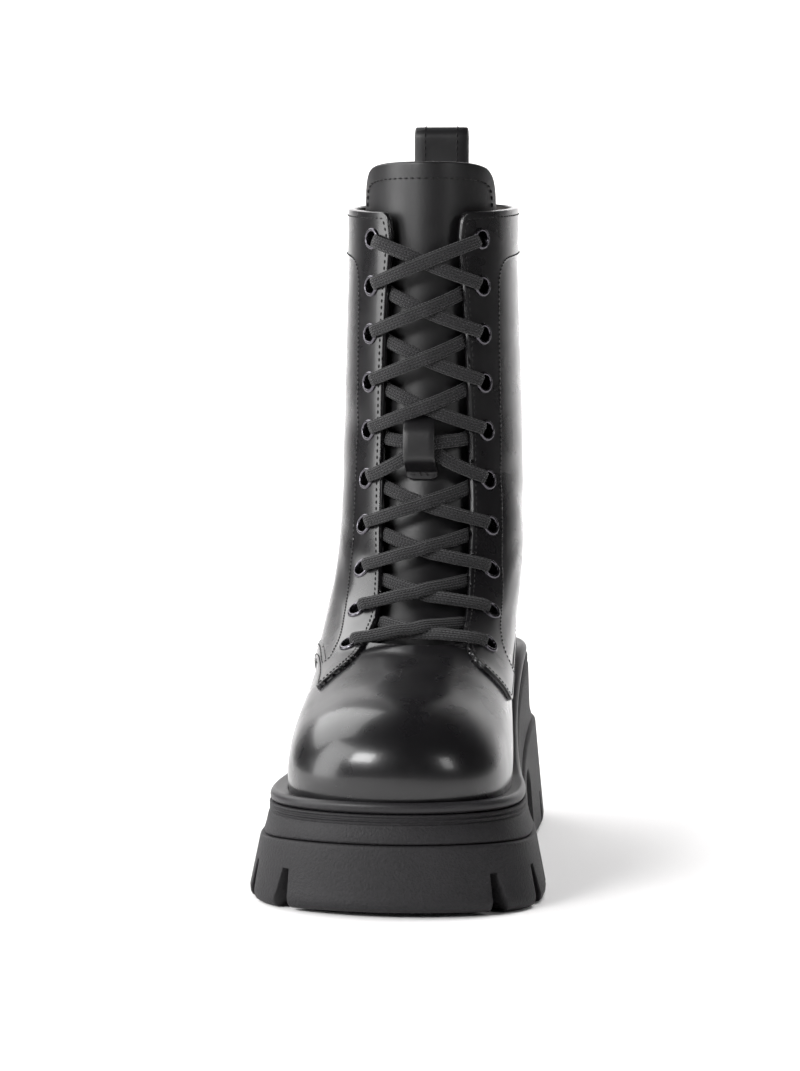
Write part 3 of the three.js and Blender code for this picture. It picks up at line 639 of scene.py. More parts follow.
def crease_lift(point):
    """The sum of the creases at a point: depth * exp(-(distance from the line / width) ** 2), faded out
    along the line by the same kind of curve."""
    x, y, z = point[..., 0], point[..., 1], point[..., 2]
    lift = np.zeros_like(x)
    for middle_y, run, depth, width, reach in CREASES:
        away = y - middle_y - run * np.abs(x - CREASE_X)
        lift += depth * np.exp(-(away / width) ** 2 - ((x - CREASE_X) / reach) ** 2) * (z > 60)
    for side, middle_y, middle_z, slope, depth, width, reach in SIDE_CREASES:
        norm = np.hypot(1.0, slope)
        along = ((y - middle_y) + slope * (z - middle_z)) / norm
        away = ((z - middle_z) - slope * (y - middle_y)) / norm
        on_side = smooth_step(8.0, 24.0, side * x)
        lift += depth * np.exp(-(away / width) ** 2 - (along / reach) ** 2) * on_side
    return lift


def lifted(u, angle, lift):
    """A point above the upper's face by lift, with the creases added."""
    point = upper_point(u, angle)
    return point + upper_normal(u, angle) * (np.asarray(lift) + crease_lift(point))[..., None]


def find(goal, axes, u, angle):
    """Newton's method for the place (u, angle) whose two coordinates on these axes are the goal."""
    goal = np.asarray(goal, float)
    u = np.broadcast_to(np.asarray(u, float), goal.shape[:-1]).copy()
    angle = np.broadcast_to(np.asarray(angle, float), goal.shape[:-1]).copy()
    for _ in range(40):
        here = upper_point(u, angle)[..., axes]
        du = (upper_point(u + 0.01, angle)[..., axes] - here) / 0.01
        da = (upper_point(u, angle + 0.001)[..., axes] - here) / 0.001
        miss = goal - here
        det = du[..., 0] * da[..., 1] - du[..., 1] * da[..., 0]
        det = np.where(np.abs(det) < 1e-6, 1e-6, det)
        u += np.clip((miss[..., 0] * da[..., 1] - miss[..., 1] * da[..., 0]) / det, -1, 1)
        angle += np.clip((du[..., 0] * miss[..., 1] - du[..., 1] * miss[..., 0]) / det, -0.2, 0.2)
    return u, angle


ridge_u = np.linspace(4.0, COLLAR + 5, 400)
ridge_line = upper_point(ridge_u, 0.0)


def on_front(x, z):
    """The place on the front of the upper at x from its ridge and at the height z."""
    x, z = np.broadcast_arrays(np.asarray(x, float), np.asarray(z, float))
    goal = np.stack([x + np.interp(z, ridge_line[:, 2], ridge_line[:, 0]), z], -1)
    start = np.interp(z, ridge_line[:, 2], ridge_u)
    return np.stack(find(goal, [0, 2], start, np.clip(x / 45.0, -1.2, 1.2)), -1)


def moved(places, side):
    """Places moved on the surface by the vectors side in millimetres, taken back to u and angle by
    least squares."""
    u, angle = places.T
    du = (upper_point(u + 0.01, angle) - upper_point(u - 0.01, angle)) / 0.02
    da = (upper_point(u, angle + 0.001) - upper_point(u, angle - 0.001)) / 0.002
    a, b, c = (du * du).sum(-1), (du * da).sum(-1), (da * da).sum(-1)
    e, f = (du * side).sum(-1), (da * side).sum(-1)
    det = a * c - b * b
    return places + np.stack([(e * c - f * b) / det, (f * a - e * b) / det], -1)


def shift(places, out):
    """Moves a closed line of places sideways on the surface by out millimetres, positive to its right:
    the sideways direction is the tangent crossed with the normal."""
    point = upper_point(*places.T)
    tangent = np.roll(point, -1, 0) - np.roll(point, 1, 0)
    tangent /= np.maximum(np.linalg.norm(tangent, axis=-1, keepdims=True), 1e-9)
    return moved(places, np.cross(tangent, upper_normal(*places.T)) * np.asarray(out)[..., None])


def hole_line(place, radius):
    """A circle of places round one place on the surface."""
    normal = upper_normal(*place)
    side = unit(np.cross(normal, (0.0, 0.0, 1.0)))
    rise = np.cross(side, normal)
    turn = np.linspace(0, 2 * np.pi, 41)[:-1, None]
    middle = np.repeat(np.asarray(place)[None], 40, 0)
    return moved(middle, radius * (np.cos(turn) * side + np.sin(turn) * rise))


def smooth_closed(places, rounds):
    """Cuts the corners of a closed line: each round puts two points on every side, at 1/4 and 3/4."""
    for _ in range(rounds):
        after = np.roll(places, -1, 0)
        places = np.stack([places * 0.75 + after * 0.25, places * 0.25 + after * 0.75], 1).reshape(-1, 2)
    return places


def even_closed(places, step):
    """A closed line again with even steps in millimetres on the surface."""
    fine = [places + (np.roll(places, -1, 0) - places) * t for t in np.linspace(0, 1, 12, endpoint=False)]
    fine = np.stack(fine, 1).reshape(-1, 2)
    fine = np.vstack([fine, fine[:1]])
    run = run_along(upper_point(*fine.T))
    goal = np.linspace(0, run[-1], int(run[-1] / step) + 1)[:-1]
    return at_runs(goal, run, fine)


def inside(places, line):
    """Whether places lie in a closed line of (u, angle), by the crossings of a ray along the angle."""
    u, angle = places.T
    result = np.zeros(len(places), dtype=bool)
    after = np.roll(line, -1, 0)
    for (u0, a0), (u1, a1) in zip(line, after):
        if u0 != u1:
            crosses = (u0 > u) != (u1 > u)
            result ^= crosses & (angle < (a1 - a0) * (u - u0) / (u1 - u0) + a0)
    return result


CUT_STEP = 0.6  # millimetres between the points of a cut line


def leather_panel(name, corners, lift, thickness, step, nodes=(), rounds=2, edge=0.9, turn=False, inset=0.0,
                  skin=None, holes=()):
    """A piece of leather cut to a closed line on the upper. A grid of (u, angle) is kept inside the line
    drawn in by the edge width; its outermost points move onto that line. From there rings of points
    go out to the cut line in a quarter circle, down the cut edge and in under the piece."""
    line = even_closed(smooth_closed(np.asarray(corners, float), rounds), CUT_STEP)
    area = np.sum(line[:, 0] * np.roll(line[:, 1], -1) - np.roll(line[:, 0], -1) * line[:, 1])
    if area > 0:
        line = line[::-1]
    if inset:
        line = shift(line, -inset)
    cut_line = line
    loops, inner_loops = [line], [shift(line, -edge)]
    for hole in holes:
        area = np.sum(hole[:, 0] * np.roll(hole[:, 1], -1) - np.roll(hole[:, 0], -1) * hole[:, 1])
        hole = hole[::-1] if area < 0 else hole
        loops.append(hole)
        inner_loops.append(shift(hole, -0.3))
    line, drawn_in = np.concatenate(loops), np.concatenate(inner_loops)
    low, high = cut_line.min(0), cut_line.max(0)
    middle_u = (low[0] + high[0]) / 2
    rows = np.arange(low[0], high[0], 0.02)
    length = np.linalg.norm(np.diff(upper_point(rows, (low[1] + high[1]) / 2), axis=0), axis=-1).sum()
    us = np.linspace(low[0], high[0], max(int(length / step), 4) + 1)
    turns = np.linspace(low[1], high[1], 1500)
    ring = upper_point(min(middle_u, 15.0), turns)
    run = run_along(ring)
    angles = np.interp(np.linspace(0, run[-1], max(int(run[-1] / step), 4) + 1), run, turns)
    grid = np.stack(np.meshgrid(us, angles, indexing="ij"), -1)
    shape = grid.shape[:2]
    places = grid.reshape(-1, 2).copy()
    within = np.logical_xor.reduce([inside(places, loop) for loop in inner_loops])
    near = within.reshape(shape)
    ringed = np.pad(near, 1)
    block = [ringed[1 + i:ringed.shape[0] - 1 + i, 1 + j:ringed.shape[1] - 1 + j] for i in (-1, 0, 1)
             for j in (-1, 0, 1)]
    touched = np.any(block, axis=0) & ~np.all(block, axis=0)
    index = np.flatnonzero(touched.ravel())
    spots = upper_point(*places[index].T)
    target = upper_point(*drawn_in.T)
    nearest = np.concatenate([
        np.argmin(((part[:, None] - target[None]) ** 2).sum(-1), 1)
        for part in np.array_split(spots, max(len(spots) // 400, 1))])
    gap = np.linalg.norm(spots - target[nearest], axis=-1)
    on_line = np.full(len(places), -1)
    snap = (~within[index]) | (gap < 0.35 * step)
    on_line[index[snap]] = nearest[snap]
    strictly = within & (on_line < 0)
    faces = quads_of(*shape)
    faces = faces[strictly[faces].any(1)]
    snapped = on_line >= 0
    places[snapped] = drawn_in[on_line[snapped]]
    used = np.unique(faces)
    number = np.full(len(places), -1)
    number[used] = np.arange(len(used))
    faces = number[faces]
    places, on_line = places[used], on_line[used]
    starts = faces.ravel()
    ends = np.roll(faces, -1, 1).ravel()
    key = np.minimum(starts, ends) * len(places) + np.maximum(starts, ends)
    _, first, counts = np.unique(key, return_index=True, return_counts=True)
    rim = first[counts == 1]
    rim_starts, rim_ends = starts[rim], ends[rim]
    border = np.unique(np.r_[rim_starts, rim_ends])
    where = np.full(len(places), -1)
    where[border] = np.arange(len(border))
    at = on_line[border]
    lift_at = lift if callable(lift) else (lambda p: np.full(len(p), float(lift)))
    points = [lifted(*places.T, lift_at(places)), lifted(*places.T, lift_at(places) - thickness)]
    total = 2 * len(places)
    rings = []
    bevel = min(edge, 0.5 * thickness)
    for share, drop in ((0.5, 0.05), (0.8, 0.3), (1.0, 1.0)):
        ring_places = drawn_in[at] + (line[at] - drawn_in[at]) * share
        points.append(lifted(*ring_places.T, lift_at(ring_places) - drop * bevel))
        rings.append(total + np.arange(len(border)))
        total += len(border)
    points.append(lifted(*line[at].T, lift_at(line[at]) - thickness))
    rings.append(total + np.arange(len(border)))
    chain = [border, *rings, len(places) + border]
    a, b = where[rim_starts], where[rim_ends]
    sides = [np.stack([chain[k][b], chain[k][a], chain[k + 1][a], chain[k + 1][b]], -1)
             for k in range(len(chain) - 1)]
    inner_faces = faces[:, ::-1] + len(places)
    all_faces = np.concatenate([faces, *sides, inner_faces])
    kinds = np.r_[np.zeros(len(faces) + sum(len(s) for s in sides)), np.ones(len(inner_faces))]
    face_leather = skin or leather
    materials = [face_leather, lining_cloth if turn else face_leather]
    piece = add_mesh(name, np.concatenate(points), all_faces, materials, kinds)
    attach(piece, "root")
    if nodes:
        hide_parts(*nodes)
    return cut_line


# ---- Vamp ----
# The front of the upper, in one piece over the toe: soft box calf lasted over a toe puff. Its top edge
# lies across the throat, under the lowest lace, and its wings run back under the quarters.

vamp_corners = [(0.15, -2.0), (0.15, -1.0), (0.15, 0.0), (0.15, 1.0), (0.15, 2.05), (3.2, 1.85), (4.6, 1.62),
                (5.5, 1.32), (6.5, 1.08), (7.2, 0.86)]
vamp_corners += [tuple(on_front(x, 101.5)) for x in (22.0, 12.0, 0.0, -12.0, -22.0)]
vamp_corners += [(7.5, -0.84), (6.7, -1.05), (5.9, -1.32), (4.6, -1.6), (3.2, -1.75)]


def vamp_lift(places):
    """The vamp lies level with the quarters at the toe and 0.9 mm lower where they cover it."""
    y = upper_point(*places.T)[:, 1]
    return -0.9 * smooth_step(-112.0, -84.0, y)


leather_panel("vamp", vamp_corners, vamp_lift, 1.4, 1.7, turn=True)

# ---- Quarters ----
# The two sides of the leg and heel, joined at the back seam. Their front edges make the throat, flare
# out over the vamp to a tip, and run back over a low hump to the sole.

LACE_ROWS = (  # eyelet height, half the distance across
    (273.0, 23.8), (252.0, 24.2), (230.7, 24.6), (209.3, 25.0), (188.0, 25.8), (166.5, 26.6), (146.5, 27.5),
    (128.0, 28.1), (111.5, 28.7), (99.0, 29.3))
eyelet_places = {(row, side): on_front(side * across, z)
                 for row, (z, across) in enumerate(LACE_ROWS, 1) for side in (-1, 1)}
outer_turned = {key: place + (0, 2 * np.pi if key[1] < 0 else 0) for key, place in eyelet_places.items()}
THROAT = ((14.6, 286.5), (15.0, 273.0), (17.0, 252.0), (18.2, 230.7), (19.0, 209.3), (19.5, 188.0),
          (19.8, 166.5),
          (20.0, 146.5), (19.7, 128.0), (19.2, 111.5))


def throat_edge(side):
    """The edge of the throat from the collar down, on one side."""
    x, z = np.array(THROAT[1:]).T
    corner = [(COLLAR, side * 0.51), (COLLAR - 0.04, side * 0.462), (COLLAR - 0.13, side * 0.434),
              (COLLAR - 0.3, side * 0.425)]
    return corner + [tuple(p) for p in on_front(side * x, z)]


inner_tip = [(8.55, 0.60), (8.0, 0.665), (7.3, 0.75), (6.2, 0.895), (5.06, 1.03), (4.27, 1.12), (3.72, 1.18)]
outer_tip = [(8.5, -0.64), (7.95, -0.665), (7.32, -0.72), (6.68, -0.77), (5.78, -0.845), (5.14, -0.885),
             (4.66, -0.92)]
inner_hump = [(3.70, 1.225), (3.86, 1.30), (4.0, 1.42), (4.06, 1.54), (3.9, 1.66), (3.3, 1.77), (2.3, 1.85),
              (1.2, 1.90)]
outer_hump = [(4.66, -0.96), (4.92, -1.04), (5.06, -1.15), (5.04, -1.26), (4.7, -1.37), (4.0, -1.47),
              (3.0, -1.58),
              (1.6, -1.69)]
TURN = 2 * np.pi
QUARTER_HOLE = 4.1  # radius of the holes behind the eyelets


def quarter_corners():
    """The closed line of both quarters, with the outer side's angles counted on past the back."""
    line = [(COLLAR, a) for a in np.linspace(np.pi, 0.56, 9)]
    line += throat_edge(1) + inner_tip + inner_hump + [(0.15, 1.94)]
    line += [(0.15, a) for a in np.linspace(2.2, 4.2, 8)] + [(0.15, TURN - 1.77)]
    outer = throat_edge(-1) + outer_tip + outer_hump
    line += [(u, a + TURN) for u, a in outer[::-1]]
    line += [(COLLAR, a) for a in np.linspace(TURN - 0.56, np.pi, 9)[:-1]]
    return line


leather_panel("quarters", quarter_corners(), 0.35, 2.4, 1.9, nodes=("upper",), turn=True,
              holes=[hole_line(place, QUARTER_HOLE) for place in outer_turned.values()])

# ---- Facings and cuff ----
# A second layer of the same leather is sewn over each quarter: it carries the eyelets down the throat,
# turns back along the hump as a narrow band, and widens at the top into a cuff round the collar.

FACING_LIFT = 0.85
FACING_HOLE = 3.75
inner_seam = [(0.15, 2.05), (1.2, 2.0), (2.6, 1.93), (3.7, 1.83), (4.5, 1.71), (4.82, 1.58), (4.78, 1.47),
              (4.42, 1.375),
              (4.40, 1.365), (5.2, 1.28), (6.1, 1.225), (8.2, 1.09), (10.0, 1.0), (11.3, 0.955),
              (12.8, 0.925),
              (14.2, 0.93), (15.2, 0.935), (16.3, 0.945), (16.75, 0.96), (16.98, 1.06), (16.98, 1.3)]
outer_seam = [(0.15, -1.84), (1.4, -1.79), (2.9, -1.69), (4.3, -1.56), (5.3, -1.43), (5.72, -1.31),
              (5.74, -1.2),
              (5.62, -1.085), (5.60, -1.07), (6.1, -1.058), (6.8, -1.048), (8.0, -1.048), (9.2, -1.03),
              (10.6, -0.99),
              (12.4, -0.915), (14.0, -0.9), (15.2, -0.9), (16.3, -0.91), (16.78, -0.93), (17.0, -1.02),
              (17.0, -1.3)]


def facing_corners():
    """The closed line of both facings and the cuff between them."""
    line = [(COLLAR, a) for a in np.linspace(np.pi, 0.56, 9)]
    line += throat_edge(1) + inner_tip + inner_hump + [(0.15, 1.94)] + inner_seam
    line += [(u, a) for u, a in zip(np.linspace(16.9, 16.62, 6), np.linspace(1.8, np.pi, 6))]
    line += [(u, a) for u, a in zip(np.linspace(16.66, 16.92, 5), np.linspace(3.7, TURN - 1.8, 5))]
    outer = throat_edge(-1) + outer_tip + outer_hump + [(0.15, -1.77)] + outer_seam
    line += [(u, a + TURN) for u, a in outer[::-1]]
    line += [(COLLAR, a) for a in np.linspace(TURN - 0.56, np.pi, 9)[:-1]]
    return line


facing_line = leather_panel("facings_and_cuff", facing_corners(), FACING_LIFT, 0.8, 1.4, edge=0.7, inset=0.2,
                            holes=[hole_line(place, FACING_HOLE) for place in outer_turned.values()])

# ---- Heel counter ----
# A stiffened patch of leather over the heel. It is sewn on last, with its front edge slanting forward
# to the sole, and is thick enough for its cut edge to show.

COUNTER_LIFT = 1.6


def on_side(side, y, z):
    """The place on one side of the upper at y and z."""
    goal = np.stack([np.asarray(y, float), np.asarray(z, float)], -1)
    return np.stack(find(goal, [1, 2], 5.0, side * 2.0), -1)


counter_edge = np.array([(39, 84), (44, 93), (58, 114), (76, 133), (96, 145), (112, 149.5)], float)
inner_edge = [(0.3, 1.98), *map(tuple, on_side(1, *counter_edge.T))]
outer_edge = [(0.3, -1.98), *map(tuple, on_side(-1, *counter_edge.T))]
counter_back_u = float(np.interp(150.0, *upper_point(np.linspace(4, 12, 200), np.pi)[:, [2]].T,
                                 np.linspace(4, 12, 200)))
counter_corners = inner_edge + [(counter_back_u, np.pi)] + [(u, a + TURN) for u, a in outer_edge[::-1]]
counter_corners += [(0.3, a) for a in np.linspace(4.1, 2.2, 7)]
counter_line = leather_panel("counter_patch", counter_corners, COUNTER_LIFT, 1.6, 1.7,
                             nodes=("heel_counter",))

# ---- Back strap ----
# A narrow strip covers the back seam from the counter up to the pull loop.

strap_u = np.linspace(counter_back_u - 0.5, 16.9, 8)
STRAP_HALF_ANGLE = 0.30
strap_corners = [(u, np.pi - STRAP_HALF_ANGLE) for u in strap_u] + [(u, np.pi + STRAP_HALF_ANGLE)
                                                                    for u in strap_u[::-1]]
strap_line = leather_panel("back_strap", strap_corners, 0.8, 0.8, 1.5, edge=0.6)

# ---- Tongue ----
# A tongue of softer leather, lined with cloth, that stands above the collar with rounded corners.

TONGUE_TOP_Z = 307.5
TONGUE_WIDTH_ANGLE = 1.24


def tongue_lift(places):
    """The tongue dives from just under the vamp to behind the lace: 2.8 to 6.2 mm under the face."""
    return -2.8 - 3.4 * smooth_step(8.1, 8.9, places[:, 0])


tongue_top_u = float(np.interp(TONGUE_TOP_Z, ridge_line[:, 2], ridge_u))
tongue_corners = [(u, 1.0 if u < 9 else TONGUE_WIDTH_ANGLE)
                  for u in np.linspace(8.15, tongue_top_u - 0.95, 12)]
tongue_corners += [(tongue_top_u - 0.45, 1.22), (tongue_top_u - 0.12, 1.08), (tongue_top_u - 0.02, 0.82)]
tongue_corners += [(tongue_top_u, a) for a in (0.4, 0.0, -0.4)]
tongue_corners += [(u, -a) for u, a in tongue_corners[14::-1]]
tongue_line = leather_panel("tongue_leather", tongue_corners, tongue_lift, 2.8, 1.7, nodes=("tongue",),
                            edge=1.3,
                            turn=True, skin=satin_leather)

# ---- Stitching ----
# Lockstitch in waxed polyester thread, about 5 stitches to the centimetre. Every stitch sinks at its
# ends into its holes.

STITCH_PITCH = 2.1
STITCH = (1.55, 0.62, 0.42)  # length, width, height in millimetres


def stitch_points(places, lift, pitch=STITCH_PITCH, size=STITCH, slant=0.0):
    """Stitches along an open line of places: a six-sided bead, thick in the middle and pointed at both
    ends, is set every pitch millimetres with its length along the line."""
    point = lifted(*places.T, lift)
    run = run_along(point)
    goal = np.arange(pitch / 2, run[-1], pitch)
    along = at_runs(goal + 0.3, run, point) - at_runs(goal - 0.3, run, point)
    spot = at_runs(goal, run, places)
    return beads_at(at_runs(goal, run, point), along, upper_normal(*spot.T), size, slant)


def beads_at(middle, along, normal, size=STITCH, slant=0.0):
    """One stitch at every middle, lying along its line on the face with this normal."""
    along = along / np.maximum(np.linalg.norm(along, axis=-1, keepdims=True), 1e-9)
    side = unit(np.cross(along, normal))
    along, side = (along * np.cos(slant) + side * np.sin(slant), side * np.cos(slant) - along * np.sin(slant))
    stations = np.array([(-0.5, 0.05, -0.9), (-0.36, 0.7, -0.1), (0.0, 1.0, 0.25), (0.36, 0.7, -0.1),
                         (0.5, 0.05, -0.9)])
    turn = np.arange(6) * np.pi / 3
    length, width, height = size
    bead = np.stack([
        np.repeat(stations[:, :1] * length, 6, 1),
        stations[:, 1:2] * np.cos(turn) * width / 2,
        stations[:, 1:2] * np.sin(turn) * height + stations[:, 2:] * height,
    ], -1).reshape(-1, 3)
    frames = np.stack([along, side, normal], 1)
    return middle[:, None] + np.einsum("bk,skc->sbc", bead, frames)


def add_stitching(name, groups):
    """All the stitches of one piece as one mesh."""
    beads = np.concatenate(groups)
    body = quads_of(5, 6, close_columns=True)
    faces = (body[None] + (np.arange(len(beads)) * 30)[:, None, None]).reshape(-1, 4)
    piece = add_mesh(name, beads.reshape(-1, 3), faces, [thread])
    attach(piece, "root")


def run_of(line, keep):
    """The unbroken stretches of a closed line where keep holds, each as an open line."""
    start = int(np.argmin(keep))
    line, keep = np.roll(line, -start, 0), np.roll(keep, -start)
    edges = np.flatnonzero(np.diff(np.r_[0, keep.astype(int), 0]))
    spans = edges.reshape(-1, 2)
    return [line[a:b] for a, b in spans if b - a > 8]


def row_along(line, inset, lift, keep, **how):
    """Stitch rows at an inset from a cut line, over the stretches to keep."""
    places = shift(line, -np.broadcast_to(inset, len(line)))
    return [stitch_points(part, lift, **how) for part in run_of(places, keep)]


near_top = facing_line[:, 0] > COLLAR - 0.25
facing_inset = np.where(near_top, 2.8, 1.9)
outer_of_facing = np.abs(np.where(facing_line[:, 1] > np.pi, facing_line[:, 1] - TURN,
                                  facing_line[:, 1])) > 0.85
seam_side = (facing_line[:, 0] > 5.9) & outer_of_facing & ~near_top
facing_inset = np.where(seam_side, 1.0, facing_inset)
kernel = np.ones(9) / 9
facing_inset = np.convolve(np.r_[facing_inset[-4:], facing_inset, facing_inset[:4]], kernel, "valid")
low_part = (facing_line[:, 0] < 8.4) & ~seam_side
facing_rows = row_along(facing_line, facing_inset, FACING_LIFT + 0.05,
                        (facing_line[:, 0] >= 8.4) & ~seam_side,
                        pitch=2.9, size=(2.0, 0.62, 0.42))
facing_rows += row_along(facing_line, facing_inset, FACING_LIFT + 0.02, low_part & (facing_line[:, 0] > 0.9),
                         size=(1.6, 0.5, 0.3))
facing_rows += row_along(facing_line, facing_inset, FACING_LIFT + 0.05, seam_side)
counter_rows = row_along(counter_line, 2.0, COUNTER_LIFT + 0.05, counter_line[:, 0] > 2.2)
counter_rows += row_along(counter_line, 4.4, COUNTER_LIFT + 0.05, counter_line[:, 0] > 2.2)
strap_rows = row_along(strap_line, 1.4, 0.85, (strap_line[:, 0] > counter_back_u) & (strap_line[:, 0] < 16.4))
add_stitching("upper_stitching", facing_rows + counter_rows + strap_rows)


def tongue_row(line):
    """The row round the tongue, 7.5 mm in from its edge on the sunk surface."""
    places = line
    for _ in range(5):
        places = even_closed(shift(places, -1.5), CUT_STEP)
    return [stitch_points(part, -6.0, pitch=3.1, size=(2.2, 0.7, 0.5))
            for part in run_of(places, places[:, 0] > 10)]


add_stitching("tongue_stitching", tongue_row(tongue_line))

# ---- Eyelets ----
# Rolled eyelets of thin steel, plated gunmetal grey: a smooth flange on the leather and a short barrel
# through it. The plating is bright, with fine scratches round the rim.

gunmetal, gunmetal_tree, gunmetal_shader = new_material(
    "gunmetal plating", Base_Color=srgb("#565459"), Metallic=1.0, Roughness=0.24)
scratch_place = add_node(gunmetal_tree, "TexCoord").outputs["Object"]
scratches = add_node(gunmetal_tree, "TexNoise", Vector=scratch_place, Scale=1500.0, Detail=2.0)
scratch_rough = add_node(gunmetal_tree, "MapRange", Value=scratches.outputs[0], To_Min=0.16, To_Max=0.34)
gunmetal_tree.links.new(scratch_rough.outputs[0], gunmetal_shader.inputs["Roughness"])
scratch_bump = add_node(gunmetal_tree, "Bump", Strength=0.12, Distance=0.00003, Height=scratches.outputs[0])
gunmetal_tree.links.new(scratch_bump.outputs[0], gunmetal_shader.inputs["Normal"])

EYELET_STEPS = 36
# Radius and height above the leather, round the ring: barrel, rolled rim, flange edge, underside.
EYELET_PROFILE = np.array([
    (3.25, -2.9), (3.2, -1.0), (3.2, 0.35), (3.32, 0.75), (3.65, 1.0), (4.05, 1.0), (4.45, 0.78),
    (4.75, 0.42),
    (4.9, 0.05), (4.8, -0.15), (4.0, -0.15), (3.7, -0.4), (3.65, -2.9)])


def eyelet_points(place):
    """The profile turned round the normal of the facing, as a grid of points."""
    u, angle = place
    middle = lifted(np.array([u]), np.array([angle]), FACING_LIFT)[0]
    normal = upper_normal(u, angle)
    side = unit(np.cross(normal, (0.0, 0.0, 1.0)))
    rise = np.cross(side, normal)
    turn = np.linspace(0, TURN, EYELET_STEPS + 1)[:-1, None]
    radius, height = EYELET_PROFILE.T
    return (middle + radius[None, :, None] * (np.cos(turn)[..., None] * side + np.sin(turn)[..., None] * rise)
            + height[None, :, None] * normal)


eyelet_faces = quads_of(EYELET_STEPS, len(EYELET_PROFILE), True, True)
for (row, side), place in eyelet_places.items():
    word = "outer" if side < 0 else "inner"
    ring = add_mesh(f"eyelet_ring_{word}_{row}", eyelet_points(place).reshape(-1, 3), eyelet_faces,
                    [gunmetal])
    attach(ring, "root")
    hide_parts(f"eyelet_{word}_{row}")

# ---- Lace ----
# A flat tubular braid of black polyester, pulled snug. Each crossing runs from an eyelet of one row,
# out over the facing, across the tongue and up under the other facing to the row above.

LACE_WIDTH = 6.1
LACE_THICKNESS = 2.1
LACE_STEP = 0.8
LACE_COLUMNS = 14
LACE_BAR = (  # the bar between the two lowest eyelets: x from the ridge, height, lift
    (-29.0, 99.5, -3.6), (-24.0, 101.8, -3.5), (-18.0, 103.8, -2.2), (-8.0, 104.8, -0.9),
    (8.0, 104.8, -0.9), (18.0, 103.8, -2.2), (24.0, 101.8, -3.5), (29.0, 99.5, -3.6))
lace_braid, braid_tree, braid_shader = new_material(
    "braided lace", Base_Color=srgb("#151416"), Roughness=0.85, Sheen_Weight=0.1, Sheen_Roughness=0.5)
braid_place = add_node(braid_tree, "UVMap", {"uv_map": "weave"}).outputs[0]
braid_split = add_node(braid_tree, "SeparateXYZ", Vector=braid_place)
# Ribs of the braid lie 1.15 mm apart across the lace; the strands lean in turn, 1.6 mm apart.
rib_turn = add_node(braid_tree, "Math", {"operation": "DIVIDE"}, _0=braid_split.outputs["Y"], _1=1.15)
rib_lean = add_node(braid_tree, "Math", {"operation": "PINGPONG"}, _0=rib_turn.outputs[0], _1=1.0)
strand_turn = add_node(braid_tree, "Math", {"operation": "DIVIDE"}, _0=braid_split.outputs["X"], _1=1.6)
strand_place = add_node(braid_tree, "Math", {"operation": "MULTIPLY_ADD"}, _0=rib_lean.outputs[0], _1=0.7,
                        _2=strand_turn.outputs[0])
strand_saw = add_node(braid_tree, "Math", {"operation": "PINGPONG"}, _0=strand_place.outputs[0], _1=0.5)
strand_high = add_node(braid_tree, "MapRange", {"interpolation_type": "SMOOTHSTEP"},
                       Value=strand_saw.outputs[0],
                       From_Max=0.3, To_Min=0.2)
rib_saw = add_node(braid_tree, "Math", {"operation": "PINGPONG"}, _0=rib_turn.outputs[0], _1=0.5)
rib_high = add_node(braid_tree, "MapRange", {"interpolation_type": "SMOOTHSTEP"}, Value=rib_saw.outputs[0],
                    From_Max=0.34)
braid_high = add_node(braid_tree, "Math", {"operation": "MULTIPLY"}, _0=strand_high.outputs[0],
                      _1=rib_high.outputs[0])
# Painted shade: the braid's colour is near black in the hollows between strands and ribs and lighter on their
# crests, following the same height as the bump.
braid_painted_shade = add_node(braid_tree, "ValToRGB", Fac=braid_high.outputs[0])
braid_painted_shade.color_ramp.elements[0].color = srgb("#020203")
braid_painted_shade.color_ramp.elements[1].color = srgb("#212023")
braid_tree.links.new(braid_painted_shade.outputs[0], braid_shader.inputs["Base Color"])
braid_bump = add_node(braid_tree, "Bump", Strength=0.9, Distance=0.0007, Height=braid_high.outputs[0])
braid_tree.links.new(braid_bump.outputs[0], braid_shader.inputs["Normal"])


def smooth_curve(points):
    """A Catmull-Rom curve through points, with 13 steps between each two."""
    points = np.asarray(points, float)
    padded = np.vstack([2 * points[0] - points[1], points, 2 * points[-1] - points[-2]])
    t = np.linspace(0, 1, 14)[:, None]
    parts = [0.5 * (2 * b + (c - a) * t + (2 * a - 5 * b + 4 * c - d) * t ** 2
                    + (3 * b - a - 3 * c + d) * t ** 3)[:-1]
             for a, b, c, d in zip(padded[:-3], padded[1:-2], padded[2:-1], padded[3:])]
    return np.vstack([*parts, points[-1:]])


def even_path(points, step):
    """A smooth curve through points, stepped evenly."""
    curve = smooth_curve(points)
    run = run_along(curve)
    return at_runs(np.linspace(0, run[-1], int(run[-1] / step) + 2), run, curve)


